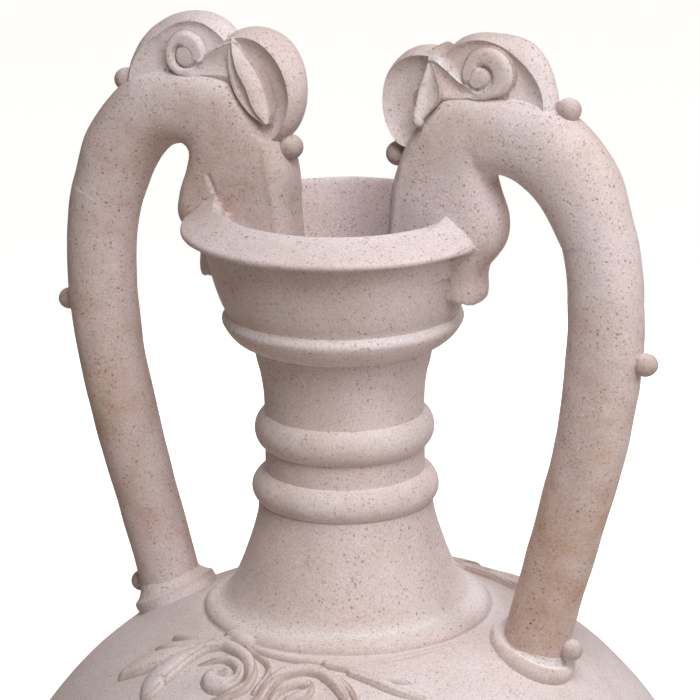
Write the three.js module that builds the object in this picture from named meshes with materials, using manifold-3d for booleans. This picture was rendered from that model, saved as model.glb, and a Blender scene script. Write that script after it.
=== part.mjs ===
// Stoneware amphora with two dragon handles: a thrown body and neck, coiled rings and a flaring cup,
// and on each side a rolled handle that rises from the shoulder and bites the rim as a dragon's head.
// Millimetres, +Z up, the origin at the middle of the foot. The handles stand on the X axis.
import * as THREE from 'three';
import { mergeVertices } from 'three/addons/utils/BufferGeometryUtils.js';
import Module from 'manifold-3d';

const wasm = await Module();
wasm.setup();

// Body
const baseRadius = 65;
const bodyRadius = 162;
const girthHeight = 212;
const bodyHeight = 351;
const shoulderSpread = 52;
const shoulderDrop = 11;
const shoulderRise = 73;
const bellyDrop = 72;
const footPull = 40;
const footLean = 14;
const wall = 9;
const floorThickness = 12;
const seatMargin = 0.8;

// Neck skirt with the rolled hem that covers the joint to the body
const hemRadius = 60.2;
const hemThickness = 8;
const hemRound = 1.6;
const coveHeight = 3.6;
const skirtWaist = 49;
const skirtTopRadius = 36.9;
const skirtHeight = 46.3;
const skirtWall = 4;
const skirtLean = 4.6;
const skirtPull = 12;

// Neck and its two rings
const neckRadius = 33.9;
const neckTopRadius = 37.2;
const neckBore = 26;
const neckHeight = 67.8;
const neckStraight = 42;
const boreFlare = 3;
const ringThickness = 15.6;
const lowerRingReach = 6.1;
const upperRingReach = 4.3;
const ringPitch = 25.6;

// Collar under the cup
const collarRadius = 50.8;
const collarHeight = 17.5;
const collarCrown = 12.2;
const collarCrease = 2;
const cupBaseRadius = 49.7;

// Cup and its sloping lip
const cupRadius = 57.5;
const cupHeight = 44.1;
const lipRadius = 67.4;
const lipDrop = 8.4;
const lipEdge = 2;
const lipUndercut = 5.5;
const cupWaistHeight = 15.9;
const cupWaistDrawn = 3.4;
const mouthRadius = 50.8;
const mouthEdge = 1.4;
const cupInnerDrawn = 3.4;
const cupFloorRadius = 40;

// Handles
const handleRadius = 14.9;
const footReach = 84.7;
const footPullOut = 11.7;
const footPullUp = 49.1;
const handleEndReach = 113;
const handleEndDrop = 3.4;
const headPullOut = 16.3;
const headPullDown = 53.9;
const footRollRadius = 2.9;
const footRollSpread = 1.2;
const footRollLift = 1.1;

// Pellets: the middle one by its share of the handle's curve, the others by their seats
const pelletRadius = 4.8;
const pelletStand = 3;
const midPelletShare = 0.71;
const footPelletOut = 19.5;
const footPelletRise = 4.2;
const napePelletOut = 33.8;
const napePelletSink = 11.3;

// Dragon heads, measured from the lip's edge: up, inwards over the mouth, and out at the throat
const archRise = 59.2;
const backReach = 50.6;
const archGap = 21;
const gapReach = 21.2;
const muzzleReach = 46.4;
const throatReach = 8.6;
const headDepth = 21.4;
const headHalfWidth = 15;
const headSquareness = 0.7;
const mouthCorner = 14;
const mouthDish = 2.2;

// Crests: each turns round a hub, given from the lip's edge outwards and from the arch's top down
const rearCrestOut = 3.2;
const rearCrestSink = 8;
const rearCrestRadius = 27.3;
const rearCrestHalfWidth = 7.1;
const rearCrestFrom = -8;
const rearCrestTo = 142;
const frontCrestOut = -27.5;
const frontCrestSink = 9.7;
const frontCrestRadius = 21.8;
const frontCrestHalfWidth = 8.4;
const frontCrestFrom = 56;
const frontCrestTo = 232;
const crestDish = 2.6;

// Curls, ears and beards
const curlOut = -0.6;
const curlRise = 3.4;
const curlRadius = 10;
const curlHalfWidth = 10;
const curlGroove = 1.1;
const curlBevel = 1.2;
const ribbonReach = -23.2;
const ribbonRise = 9.5;
const ribbonSink = 10;
const earReach = -21.8;
const earRise = 10.5;
const earLean = 17.5;
const earLength = 33;
const earHalfWidth = 5;
const earThickness = 4;
const beardSetback = 2.2;
const beardHeight = 14.5;
const beardHalfWidth = 12.5;
const beardLobe = 6.5;
const beardFlute = 4.2;
const beardBevel = 1.6;

// The slip joint left between two pieces that are luted together
const joint = 0.3;

// Facets
const turns = 36;
const handleSides = 16;
const handleSteps = 16;
const headSides = 16;
const headSteps = 18;
const bodySteps = 7;
const crestSteps = 10;
const earSteps = 6;
const earSides = 8;

// Heights that follow from the stack of turned pieces
const neckBase = bodyHeight + skirtHeight;
const collarBase = neckBase + neckHeight;
const cupBase = collarBase + collarHeight;
const rimHeight = cupBase + cupHeight;
const lipHeight = rimHeight - lipDrop;

const point = (x, y) => new THREE.Vector2(x, y);

function stoneware(color, roughness = 0.9) {
  return new THREE.MeshStandardMaterial({ color, roughness, metalness: 0 });
}

const clay = stoneware(0xccb8b0);
const paleClay = stoneware(0xd6c6c1);
const warmClay = stoneware(0xbfa698, 0.92);

// Booleans: a welded mesh becomes a solid, and a solid becomes a mesh again.
function weld(geometry) {
  const bare = new THREE.BufferGeometry();
  bare.setAttribute('position', geometry.getAttribute('position'));
  if (geometry.index) bare.setIndex(geometry.index);
  const welded = mergeVertices(bare, 1e-4);
  const index = welded.index.array;
  const kept = [];
  for (let i = 0; i < index.length; i += 3) {
    const [a, b, c] = [index[i], index[i + 1], index[i + 2]];
    if (a !== b && b !== c && c !== a) kept.push(a, b, c);
  }
  welded.setIndex(kept);
  return welded;
}

function toSolid(geometry) {
  const welded = weld(geometry);
  return new wasm.Manifold(new wasm.Mesh({
    numProp: 3,
    vertProperties: new Float32Array(welded.getAttribute('position').array),
    triVerts: new Uint32Array(welded.index.array),
  }));
}

function toGeometry(solid) {
  const mesh = solid.getMesh();
  const geometry = new THREE.BufferGeometry();
  geometry.setAttribute('position', new THREE.BufferAttribute(mesh.vertProperties, 3));
  geometry.setIndex(new THREE.BufferAttribute(mesh.triVerts, 1));
  geometry.computeVertexNormals();
  return geometry;
}

// Every corner moves out until the faces round it have moved by the distance.
function grown(geometry, distance = joint) {
  const sharpest = 0.5;
  const result = weld(geometry);
  const position = result.getAttribute('position');
  const index = result.index.array;
  const faces = Array.from({ length: position.count }, () => []);
  const corner = (i) => new THREE.Vector3().fromBufferAttribute(position, i);
  for (let i = 0; i < index.length; i += 3) {
    const triangle = new THREE.Triangle(corner(index[i]), corner(index[i + 1]), corner(index[i + 2]));
    if (triangle.getArea() === 0) continue;
    const normal = triangle.getNormal(new THREE.Vector3());
    for (let k = 0; k < 3; k += 1) faces[index[i + k]].push(normal);
  }
  faces.forEach((normals, i) => {
    const mean = new THREE.Vector3();
    normals.forEach((normal) => mean.add(normal));
    mean.normalize();
    const least = Math.max(sharpest, Math.min(...normals.map((normal) => normal.dot(mean))));
    const moved = corner(i).addScaledVector(mean, distance / least);
    position.setXYZ(i, moved.x, moved.y, moved.z);
  });
  return result;
}

// The main body of a cut piece, without the offcuts.
function largest(solid) {
  return solid.decompose().reduce((best, body) => (body.volume() > best.volume() ? body : best));
}

// A piece seated on its neighbours: each is taken away from it, with the joint round it.
function seated(geometry, neighbours) {
  let solid = toSolid(geometry);
  neighbours.forEach((neighbour) => {
    solid = solid.subtract(toSolid(grown(neighbour)));
  });
  return toGeometry(largest(solid));
}

// Turned pieces: the outside runs up and the inside down, then the outline closes.
function turned(outline) {
  const geometry = new THREE.LatheGeometry([...outline, outline[0]], turns);
  return geometry.rotateX(Math.PI / 2);
}

// The same line moved inwards by a wall, square to itself, with its ends kept at their heights.
function walled(line, thickness) {
  return line.map((at, i) => {
    const before = line[Math.max(0, i - 1)];
    const after = line[Math.min(line.length - 1, i + 1)];
    const along = after.clone().sub(before).normalize();
    return point(at.x - along.y * thickness, at.y + along.x * thickness);
  });
}

function bend(from, fromPull, toPull, to, steps) {
  return new THREE.CubicBezierCurve(from, fromPull, toPull, to).getPoints(steps);
}

// A body lofted through rings of equal count, closed by a fan at each end.
// Each ring turns the same way round the path: clockwise, seen from the path's start.
function loft(rings) {
  const count = rings[0].length;
  const positions = rings.flat().flatMap((at) => [at.x, at.y, at.z]);
  const index = [];
  for (let ring = 0; ring < rings.length - 1; ring += 1) {
    for (let k = 0; k < count; k += 1) {
      const a = ring * count + k;
      const b = ring * count + ((k + 1) % count);
      index.push(a, b, b + count, a, b + count, a + count);
    }
  }
  [0, rings.length - 1].forEach((ring) => {
    const middle = new THREE.Vector3();
    rings[ring].forEach((at) => middle.addScaledVector(at, 1 / count));
    const hub = positions.length / 3;
    positions.push(middle.x, middle.y, middle.z);
    for (let k = 0; k < count; k += 1) {
      const a = ring * count + k;
      const b = ring * count + ((k + 1) % count);
      index.push(...(ring === 0 ? [hub, b, a] : [hub, a, b]));
    }
  });
  const geometry = new THREE.BufferGeometry();
  geometry.setAttribute('position', new THREE.Float32BufferAttribute(positions, 3));
  geometry.setIndex(index);
  return geometry;
}

// Body: one curve from the neck's seat over the shoulder to the girth, one from there to the foot.
const seatRadius = hemRadius + seatMargin;
const neckMouth = skirtWaist - skirtWall;
const shoulderLine = bend(
  point(bodyRadius, girthHeight),
  point(bodyRadius, girthHeight + shoulderRise),
  point(seatRadius + shoulderSpread, bodyHeight - shoulderDrop),
  point(seatRadius, bodyHeight),
  bodySteps,
);
const bellyLine = bend(
  point(baseRadius, 0),
  point(baseRadius + footLean, footPull),
  point(bodyRadius, girthHeight - bellyDrop),
  point(bodyRadius, girthHeight),
  bodySteps,
);

function footBody() {
  const top = girthHeight - joint;
  const line = [...bellyLine.slice(0, -1), point(bodyRadius, top)];
  const inside = walled(line, wall).filter((at) => at.y > floorThickness + wall).reverse();
  inside[0].y = top;
  return turned([
    point(0, 0),
    ...line,
    ...inside,
    point(baseRadius - wall, floorThickness),
    point(0, floorThickness),
  ]);
}

function shoulderBody() {
  const inside = walled(shoulderLine, wall).reverse();
  inside[inside.length - 1].y = girthHeight;
  const under = inside[0].y;
  return turned([
    ...shoulderLine,
    point(neckMouth, bodyHeight),
    point(neckMouth, under),
    ...inside,
  ]);
}

// The body's outside as a filled form, which feet, rolls and relief are seated on.
function filledShoulder() {
  const below = girthHeight * 0.5;
  return turned([point(0, below), point(bodyRadius, below), ...shoulderLine, point(0, bodyHeight)]);
}

function neckSkirt() {
  const bottom = bodyHeight + joint;
  const hemTop = bodyHeight + hemThickness;
  const hem = bend(
    point(hemRadius - hemRound, bottom),
    point(hemRadius + hemRound * 0.7, bottom + hemRound * 0.6),
    point(hemRadius + hemRound * 0.4, hemTop - hemRound * 0.6),
    point(hemRadius - hemRound * 2, hemTop),
    3,
  );
  const flare = bend(
    point(skirtWaist, hemTop + coveHeight),
    point(skirtWaist - skirtLean, hemTop + skirtPull),
    point(skirtTopRadius + skirtLean / 3, neckBase - skirtPull),
    point(skirtTopRadius, neckBase),
    4,
  );
  const inside = [
    point(neckBore, neckBase),
    point(neckBore + boreFlare, neckBase - skirtHeight * 0.4),
    point(neckMouth - boreFlare * 0.7, hemTop),
    point(neckMouth, bottom),
  ];
  return turned([...hem, ...flare, ...inside]);
}

function neckTube() {
  const spread = neckTopRadius - neckRadius;
  const rise = neckHeight - neckStraight;
  const flare = bend(
    point(neckRadius, collarBase - rise),
    point(neckRadius + spread * 0.1, collarBase - rise * 0.6),
    point(neckTopRadius - spread * 0.4, collarBase - rise * 0.3),
    point(neckTopRadius, collarBase),
    3,
  );
  return turned([
    point(neckRadius, neckBase + joint),
    ...flare,
    point(neckBore, collarBase),
    point(neckBore, neckBase + joint),
  ]);
}

// A half-round coil pressed round the neck: the curve bulges to three quarters of its pulls.
function neckRing(middle, reach) {
  const inner = neckRadius + joint;
  const half = ringThickness / 2;
  const pull = (reach * 4) / 3;
  const bulge = bend(
    point(inner, middle - half),
    point(inner + pull, middle - half * 0.9),
    point(inner + pull, middle + half * 0.9),
    point(inner, middle + half),
    5,
  );
  return turned(bulge);
}

function mouthCollar() {
  const bottom = collarBase + joint;
  const overhang = collarRadius - neckTopRadius;
  const under = bend(
    point(neckTopRadius, bottom),
    point(neckTopRadius + overhang * 0.3, bottom + collarCrown * 0.15),
    point(collarRadius - overhang * 0.1, bottom + collarCrown * 0.2),
    point(collarRadius, collarBase + collarCrown),
    3,
  );
  return turned([
    ...under,
    point(collarRadius, cupBase - collarCrease),
    point(cupBaseRadius, cupBase),
    point(cupFloorRadius, cupBase),
    point(neckBore, bottom),
  ]);
}

function mouthCup() {
  const bottom = cupBase + joint;
  const lipUnder = lipHeight - lipEdge;
  const side = bend(
    point(cupBaseRadius, bottom),
    point(cupBaseRadius + cupWaistDrawn / 2, cupBase + cupWaistHeight * 0.4),
    point(cupRadius - cupWaistDrawn, cupBase + cupWaistHeight),
    point(cupRadius, lipUnder - lipUndercut),
    4,
  );
  return turned([
    ...side,
    point(cupRadius + lipUndercut / 4, lipUnder - lipUndercut / 2),
    point(lipRadius - lipEdge / 2, lipUnder),
    point(lipRadius, lipHeight),
    point(mouthRadius, rimHeight),
    point(mouthRadius - mouthEdge, rimHeight - mouthEdge),
    point(mouthRadius - cupInnerDrawn, cupBase + cupHeight / 2),
    point(cupFloorRadius, bottom),
  ]);
}

// Handle: a rolled length of clay on one curve in the plane of the handles.
const along3 = (at) => new THREE.Vector3(at.x, 0, at.y);

// Height and slope of the shoulder at a distance from the axis.
function shoulderAt(reach) {
  for (let i = 1; i < shoulderLine.length; i += 1) {
    const [low, high] = [shoulderLine[i - 1], shoulderLine[i]];
    if (high.x <= reach) {
      const share = (reach - high.x) / (low.x - high.x);
      const slope = Math.atan2(high.y - low.y, low.x - high.x);
      return { height: high.y + (low.y - high.y) * share, slope };
    }
  }
  return { height: bodyHeight, slope: 0 };
}

const handleEnd = point(handleEndReach, rimHeight - handleEndDrop);
const foot = point(footReach, shoulderAt(footReach).height);
const handleCurve = new THREE.CubicBezierCurve3(
  along3(foot),
  along3(point(foot.x + footPullOut, foot.y + footPullUp)),
  along3(point(handleEnd.x + headPullOut, handleEnd.y - headPullDown)),
  along3(handleEnd),
);

function circleShape(radius, sides) {
  const corners = [];
  for (let i = 0; i < sides; i += 1) {
    const turn = (2 * Math.PI * i) / sides;
    corners.push(point(radius * Math.cos(turn), radius * Math.sin(turn)));
  }
  return new THREE.Shape(corners);
}

// The curve runs on below the shoulder, so that the foot is cut to the shoulder's form.
function handleTube() {
  const start = handleCurve.getPoint(0);
  const down = handleCurve.getTangent(0).multiplyScalar(-handleRadius);
  const path = new THREE.CurvePath();
  path.add(new THREE.LineCurve3(start.clone().add(down), start));
  path.add(handleCurve);
  const samples = path.getSpacedPoints(handleSteps);
  return new THREE.ExtrudeGeometry(circleShape(handleRadius, handleSides), {
    steps: handleSteps,
    extrudePath: new THREE.CatmullRomCurve3(samples),
  });
}

// Dragon's head: a loft between the line of the back and the line of the throat, in pairs.
const endTangent = handleCurve.getTangent(1);
const endOut = point(endTangent.z * handleRadius, -endTangent.x * handleRadius);
const lip = point(lipRadius, rimHeight);
const fromLip = (x, z) => point(lip.x + x, lip.y + z);
const backLine = new THREE.SplineCurve([
  handleEnd.clone().add(endOut),
  fromLip(backReach, archRise * 0.43),
  fromLip(backReach * 0.63, archRise * 0.79),
  fromLip(backReach * 0.13, archRise),
  fromLip(-muzzleReach * 0.39, archRise * 0.9),
  fromLip(-muzzleReach * 0.8, archRise * 0.59),
  fromLip(-muzzleReach * 0.94, archRise * 0.22),
  fromLip(-muzzleReach * 0.98, -headDepth * 0.37),
  fromLip(-muzzleReach * 0.96, -headDepth),
]);
const throatLine = new THREE.SplineCurve([
  handleEnd.clone().sub(endOut),
  fromLip(gapReach, archGap * 0.44),
  fromLip(gapReach * 0.65, archGap * 0.88),
  fromLip(gapReach * 0.29, archGap),
  fromLip(gapReach * 0.15, archGap * 0.78),
  fromLip(gapReach * 0.21, archGap * 0.5),
  fromLip(throatReach * 0.91, archGap * 0.1),
  fromLip(throatReach * 0.95, -headDepth * 0.47),
  fromLip(-throatReach * 0.1, -headDepth),
]);

// Half widths at the same nine places, from the handle's radius to the narrow tip of the muzzle.
const widthShares = [0.99, 1, 1, 1, 1, 0.97, 0.88, 0.6];
const halfWidths = new THREE.SplineCurve(
  [handleRadius, ...widthShares.map((share) => share * headHalfWidth)].map((width, i) => point(i, width)),
);

// One section: a rounded box whose corners sharpen from the round handle to the muzzle.
function headSection(share) {
  const back = backLine.getPoint(share);
  const throat = throatLine.getPoint(share);
  const half = back.clone().sub(throat).multiplyScalar(0.5);
  const middle = throat.clone().add(half);
  const width = halfWidths.getPoint(share).y;
  const power = 2 / (2 + headSquareness * share);
  const swell = (value) => Math.sign(value) * Math.abs(value) ** power;
  const ring = [];
  for (let i = 0; i < headSides; i += 1) {
    const turn = (2 * Math.PI * i) / headSides;
    const reach = swell(Math.cos(turn));
    ring.push(new THREE.Vector3(
      middle.x + half.x * reach,
      width * swell(Math.sin(turn)),
      middle.y + half.y * reach,
    ));
  }
  return ring;
}

function headForm() {
  const rings = [];
  for (let i = 0; i <= headSteps; i += 1) rings.push(headSection(i / headSteps));
  return loft(rings);
}

// The dished corner of the mouth on both sides of the head.
function mouthDishes() {
  const corner = new THREE.Shape([
    fromLip(-mouthCorner, mouthCorner * 0.48),
    fromLip(-mouthCorner * 1.8, -mouthCorner * 0.7),
    fromLip(-mouthCorner * 0.1, -mouthCorner * 0.55),
  ]);
  const depth = headHalfWidth;
  const inner = headHalfWidth - mouthDish;
  return [-1, 1].map((side) => {
    const geometry = new THREE.ExtrudeGeometry(corner, { depth, bevelEnabled: false });
    geometry.rotateX(Math.PI / 2);
    return geometry.translate(0, side > 0 ? inner + depth : -inner, 0);
  });
}

// Crest: a fin with a rounded top, sharp ridges and dished sides, swept round a hub.
function crest(hub, radius, halfWidth, fromTurn, toTurn) {
  const section = [
    [radius * 0.1, -halfWidth + crestDish],
    [radius * 0.62, -halfWidth + crestDish],
    [radius * 0.88, -halfWidth],
    [radius * 0.97, -halfWidth * 0.6],
    [radius, 0],
    [radius * 0.97, halfWidth * 0.6],
    [radius * 0.88, halfWidth],
    [radius * 0.62, halfWidth - crestDish],
    [radius * 0.1, halfWidth - crestDish],
  ];
  const rings = [];
  for (let i = 0; i <= crestSteps; i += 1) {
    const turn = THREE.MathUtils.degToRad(THREE.MathUtils.lerp(fromTurn, toTurn, i / crestSteps));
    rings.push(section.map(([reach, side]) => new THREE.Vector3(
      hub.x + reach * Math.cos(turn),
      side,
      hub.y + reach * Math.sin(turn),
    )));
  }
  return loft(rings);
}

// Curl: the crest's ribbon rolled into a spiral, with a groove between its turns on both sides.
const curlMiddle = fromLip(curlOut, archRise + curlRise);

function curlShape() {
  const shape = new THREE.Shape();
  const tail = fromLip(ribbonReach, archRise + ribbonRise);
  const seam = fromLip(ribbonReach, archRise - ribbonSink);
  shape.moveTo(tail.x, tail.y);
  shape.lineTo(seam.x, seam.y);
  shape.lineTo(curlMiddle.x - curlRadius * 0.5, curlMiddle.y - curlRadius * 1.12);
  shape.absarc(curlMiddle.x, curlMiddle.y, curlRadius, -Math.PI * 0.6, Math.PI * 0.98, false);
  shape.quadraticCurveTo(curlMiddle.x - curlRadius * 1.1, curlMiddle.y - 1, tail.x, tail.y);
  return shape;
}

function curlForm() {
  const geometry = new THREE.ExtrudeGeometry(curlShape(), {
    depth: 2 * (curlHalfWidth - curlBevel),
    curveSegments: 6,
    bevelThickness: curlBevel,
    bevelSize: curlBevel,
    bevelOffset: -curlBevel,
    bevelSegments: 1,
  });
  geometry.rotateX(Math.PI / 2);
  return geometry.translate(0, curlHalfWidth - curlBevel, 0);
}

function curlGrooves() {
  const steps = 12;
  const turnsRound = 0.85;
  return [-1, 1].map((side) => {
    const path = [];
    for (let i = 0; i <= steps; i += 1) {
      const share = i / steps;
      const turn = Math.PI * (1.05 + 2 * turnsRound * share);
      const reach = curlRadius * (0.86 - 0.46 * Math.sqrt(share));
      path.push(new THREE.Vector3(
        curlMiddle.x + reach * Math.cos(turn),
        side * curlHalfWidth,
        curlMiddle.y + reach * Math.sin(turn),
      ));
    }
    return new THREE.ExtrudeGeometry(circleShape(curlGroove, 5), {
      steps,
      extrudePath: new THREE.CatmullRomCurve3(path),
    });
  });
}

// Ear: a pointed leaf that leans on the side of the front crest.
function ear(side) {
  const tip = fromLip(earReach, archRise + earRise);
  const leanTurn = THREE.MathUtils.degToRad(earLean);
  const lean = point(-Math.sin(leanTurn), -Math.cos(leanTurn));
  const rings = [];
  for (let i = 0; i <= earSteps; i += 1) {
    const share = i / earSteps;
    const swell = Math.sin(Math.PI * Math.min(0.97, 0.03 + 0.94 * share)) ** 0.8;
    const middle = tip.clone().addScaledVector(lean, earLength * share);
    const out = THREE.MathUtils.lerp(frontCrestHalfWidth, headHalfWidth + earThickness / 4, share);
    const ring = [];
    for (let k = 0; k < earSides; k += 1) {
      const turn = (2 * Math.PI * k) / earSides;
      const across = earHalfWidth * swell * Math.cos(turn);
      ring.push(new THREE.Vector3(
        middle.x - lean.y * across,
        side * (out + earThickness * swell * Math.sin(turn)),
        middle.y + lean.x * across,
      ));
    }
    rings.push(side > 0 ? ring.reverse() : ring);
  }
  return loft(rings);
}

// Beard: a fluted tab of three lobes under the jaw, pressed on the cup's wall.
function beard() {
  const outer = lipRadius - beardSetback;
  const flute = outer - beardFlute;
  const side = flute - beardLobe * 0.75;
  const shape = new THREE.Shape();
  shape.moveTo(cupFloorRadius, -beardHalfWidth);
  shape.lineTo(side, -beardHalfWidth);
  shape.quadraticCurveTo(flute, -beardHalfWidth, flute, -beardLobe);
  shape.quadraticCurveTo(outer, -beardLobe, outer, 0);
  shape.quadraticCurveTo(outer, beardLobe, flute, beardLobe);
  shape.quadraticCurveTo(flute, beardHalfWidth, side, beardHalfWidth);
  shape.lineTo(cupFloorRadius, beardHalfWidth);
  const geometry = new THREE.ExtrudeGeometry(shape, {
    depth: beardHeight - joint - 2 * beardBevel,
    curveSegments: 4,
    bevelThickness: beardBevel,
    bevelSize: beardBevel,
    bevelOffset: -beardBevel,
    bevelSegments: 1,
  });
  return geometry.translate(0, 0, rimHeight - headDepth - beardHeight + beardBevel);
}

function pellet(at) {
  return new THREE.SphereGeometry(pelletRadius, 10, 6).translate(at.x, 0, at.y);
}

// A roll of clay laid round the handle's foot, tilted to the shoulder.
function footRoll() {
  const ringRadius = handleRadius + footRollSpread;
  const { slope } = shoulderAt(footReach);
  const geometry = new THREE.TorusGeometry(ringRadius, footRollRadius, 6, 16);
  geometry.translate(0, 0, footRollLift);
  geometry.rotateY(slope);
  return geometry.translate(foot.x, 0, foot.y);
}

// Pellets sit proud of the clay that they are pressed on.
function pelletSeats() {
  const outOfHandle = handleCurve.getPoint(midPelletShare);
  return {
    foot: point(foot.x + footPelletOut, foot.y + footPelletRise),
    mid: point(outOfHandle.x + handleRadius + pelletStand, outOfHandle.z),
    nape: fromLip(napePelletOut, archRise - napePelletSink),
    brow: fromLip(-muzzleReach * 0.9, archRise * 0.4),
  };
}

// The head is cut by the end of the handle, by the cup that it bites and by the corners of its mouth.
function headPiece(plainHead, cup) {
  let solid = toSolid(plainHead).subtract(toSolid(grown(handleTube())));
  solid = solid.subtract(toSolid(grown(cup)));
  mouthDishes().forEach((dish) => {
    solid = solid.subtract(toSolid(dish));
  });
  return toGeometry(largest(solid));
}

function curlPiece(plainHead) {
  let solid = toSolid(curlForm()).subtract(toSolid(grown(plainHead)));
  curlGrooves().forEach((groove) => {
    solid = solid.subtract(toSolid(groove));
  });
  return toGeometry(largest(solid));
}

// The pieces of one handle, made once on the +X side and turned for the other.
function handlePieces() {
  const shoulder = filledShoulder();
  const cup = mouthCup();
  const tube = handleTube();
  const plainHead = headForm();
  const curl = curlForm();
  const roll = seated(footRoll(), [shoulder, tube]);
  const frontHub = fromLip(frontCrestOut, archRise - frontCrestSink);
  const frontForm = crest(frontHub, frontCrestRadius, frontCrestHalfWidth, frontCrestFrom, frontCrestTo);
  const front = seated(frontForm, [plainHead, curl]);
  const rearHub = fromLip(rearCrestOut, archRise - rearCrestSink);
  const rearForm = crest(rearHub, rearCrestRadius, rearCrestHalfWidth, rearCrestFrom, rearCrestTo);
  const rear = seated(rearForm, [plainHead, curl, front]);
  const earSeat = [plainHead, curl, front, rearForm];
  const seats = pelletSeats();
  return [
    ['handle', seated(tube, [shoulder]), warmClay],
    ['handle_foot_roll', roll, paleClay],
    ['foot_pellet', seated(pellet(seats.foot), [shoulder, tube, roll]), paleClay],
    ['mid_pellet', seated(pellet(seats.mid), [tube]), paleClay],
    ['nape_pellet', seated(pellet(seats.nape), [plainHead, rear]), paleClay],
    ['brow_pellet', seated(pellet(seats.brow), [plainHead, front]), paleClay],
    ['dragon_head', headPiece(plainHead, cup), clay],
    ['beard', seated(beard(), [cup, mouthCollar()]), clay],
    ['rear_crest', rear, paleClay],
    ['front_crest', front, paleClay],
    ['curl', curlPiece(plainHead), paleClay],
    ['ear_front', seated(ear(-1), earSeat), paleClay],
    ['ear_back', seated(ear(1), earSeat), paleClay],
  ];
}

function named(name, geometry, material) {
  const mesh = new THREE.Mesh(geometry, material);
  mesh.name = name;
  return mesh;
}

const vase = new THREE.Group();
vase.name = 'dragon_handle_vase';
const lowerRingHeight = neckBase + ringThickness / 2 + joint;
vase.add(
  named('foot_body', footBody(), clay),
  named('shoulder_body', shoulderBody(), clay),
  named('neck_skirt', neckSkirt(), paleClay),
  named('neck_tube', neckTube(), clay),
  named('neck_ring_lower', neckRing(lowerRingHeight, lowerRingReach), paleClay),
  named('neck_ring_upper', neckRing(lowerRingHeight + ringPitch, upperRingReach), paleClay),
  named('mouth_collar', mouthCollar(), paleClay),
  named('mouth_cup', mouthCup(), clay),
);
const pieces = handlePieces();
[['left', Math.PI], ['right', 0]].forEach(([side, turn]) => {
  const handle = new THREE.Group();
  handle.rotation.z = turn;
  pieces.forEach(([name, geometry, material]) => handle.add(named(`${side}_${name}`, geometry, material)));
  vase.add(handle);
});

export default vase;
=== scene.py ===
from functools import partial
import math

import bpy
import numpy as np
from mathutils import Matrix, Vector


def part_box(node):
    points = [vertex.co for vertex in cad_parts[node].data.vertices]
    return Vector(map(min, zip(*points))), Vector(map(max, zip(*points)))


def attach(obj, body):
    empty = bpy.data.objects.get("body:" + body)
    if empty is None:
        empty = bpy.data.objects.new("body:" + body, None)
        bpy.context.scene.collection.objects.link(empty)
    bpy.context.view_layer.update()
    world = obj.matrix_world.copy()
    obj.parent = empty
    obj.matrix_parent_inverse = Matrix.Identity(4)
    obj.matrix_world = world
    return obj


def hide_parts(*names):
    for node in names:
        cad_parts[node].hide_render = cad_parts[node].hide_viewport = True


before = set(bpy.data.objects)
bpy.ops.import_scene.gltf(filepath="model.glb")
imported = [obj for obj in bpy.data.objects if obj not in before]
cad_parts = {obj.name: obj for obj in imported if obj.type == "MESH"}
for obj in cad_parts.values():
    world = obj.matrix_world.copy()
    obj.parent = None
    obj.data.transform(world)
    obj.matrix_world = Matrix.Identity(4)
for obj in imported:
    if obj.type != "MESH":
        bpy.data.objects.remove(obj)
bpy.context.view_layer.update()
print("frame loaded:", len(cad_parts), "nodes")

scene = bpy.context.scene
toMetres = 0.001


def top(node):
    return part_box(node)[1].z / toMetres


def reach(node):
    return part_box(node)[1].x / toMetres


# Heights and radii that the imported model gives
bodyInset = 0.25
girthHeight = top("foot_body")
bodyHeight = top("shoulder_body")
bodyRadius = reach("shoulder_body") - bodyInset
neckBase = top("neck_skirt")
collarBase = top("neck_tube")
cupBase = top("mouth_collar")
rimHeight = top("mouth_cup")
lipRadius = reach("mouth_cup")
sides = {"left": -1, "right": 1}


# Numbers and lines

def smoothStep(value, low, high):
    share = np.clip((value - low) / (high - low), 0, 1)
    return share * share * (3 - 2 * share)


def bell(value, width):
    return np.exp(-(value / width)**2)


def signedPower(value, power):
    return np.sign(value) * abs(value)**power


def smoothed(values, count):
    # Running mean weighted by a raised cosine.
    window = np.hanning(count) / np.hanning(count).sum()
    return np.convolve(np.pad(values, count // 2, "edge"), window, "valid")


def unit(vectors):
    return vectors / np.linalg.norm(vectors, axis=-1, keepdims=True)


def circle(count):
    return np.linspace(0, 2 * math.pi, count, endpoint=False)


def onCircle(radius, turn):
    return np.stack([radius * np.cos(turn), radius * np.sin(turn)], -1)


def lineAt(points, places):
    # Catmull-Rom line through the points: place 0 is the first point and place n - 1 the last.
    line = np.asarray(points, float)
    ends = np.concatenate([2 * line[:1] - line[1:2], line, 2 * line[-1:] - line[-2:-1]])
    places = np.clip(np.asarray(places, float), 0, len(line) - 1)
    first = np.minimum(places.astype(int), len(line) - 2)
    share = (places - first)[:, None]
    a, b, c, d = (ends[first + i] for i in range(4))
    return 0.5 * (2 * b + (c - a) * share + (2 * a - 5 * b + 4 * c - d) * share**2
                  + (3 * b - a - 3 * c + d) * share**3)


def runAlong(line):
    # Length of the line from its start to each point.
    return np.concatenate([[0], np.cumsum(np.linalg.norm(np.diff(line, axis=0), axis=1))])


def evenLine(points, step):
    # The same line with its samples at equal distances, about one step apart.
    dense = lineAt(points, np.linspace(0, len(points) - 1, 30 * len(points)))
    run = runAlong(dense)
    places = np.linspace(0, run[-1], max(3, round(run[-1] / step) + 1))
    return np.stack([np.interp(places, run, part) for part in dense.T], 1)


def bezier(a, b, c, d, count):
    # (1-t)^3 a + 3 (1-t)^2 t b + 3 (1-t) t^2 c + t^3 d
    t = np.linspace(0, 1, count)[:, None]
    a, b, c, d = (np.asarray(p, float) for p in (a, b, c, d))
    return (1 - t)**3 * a + 3 * (1 - t)**2 * t * b + 3 * (1 - t) * t**2 * c + t**3 * d


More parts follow.
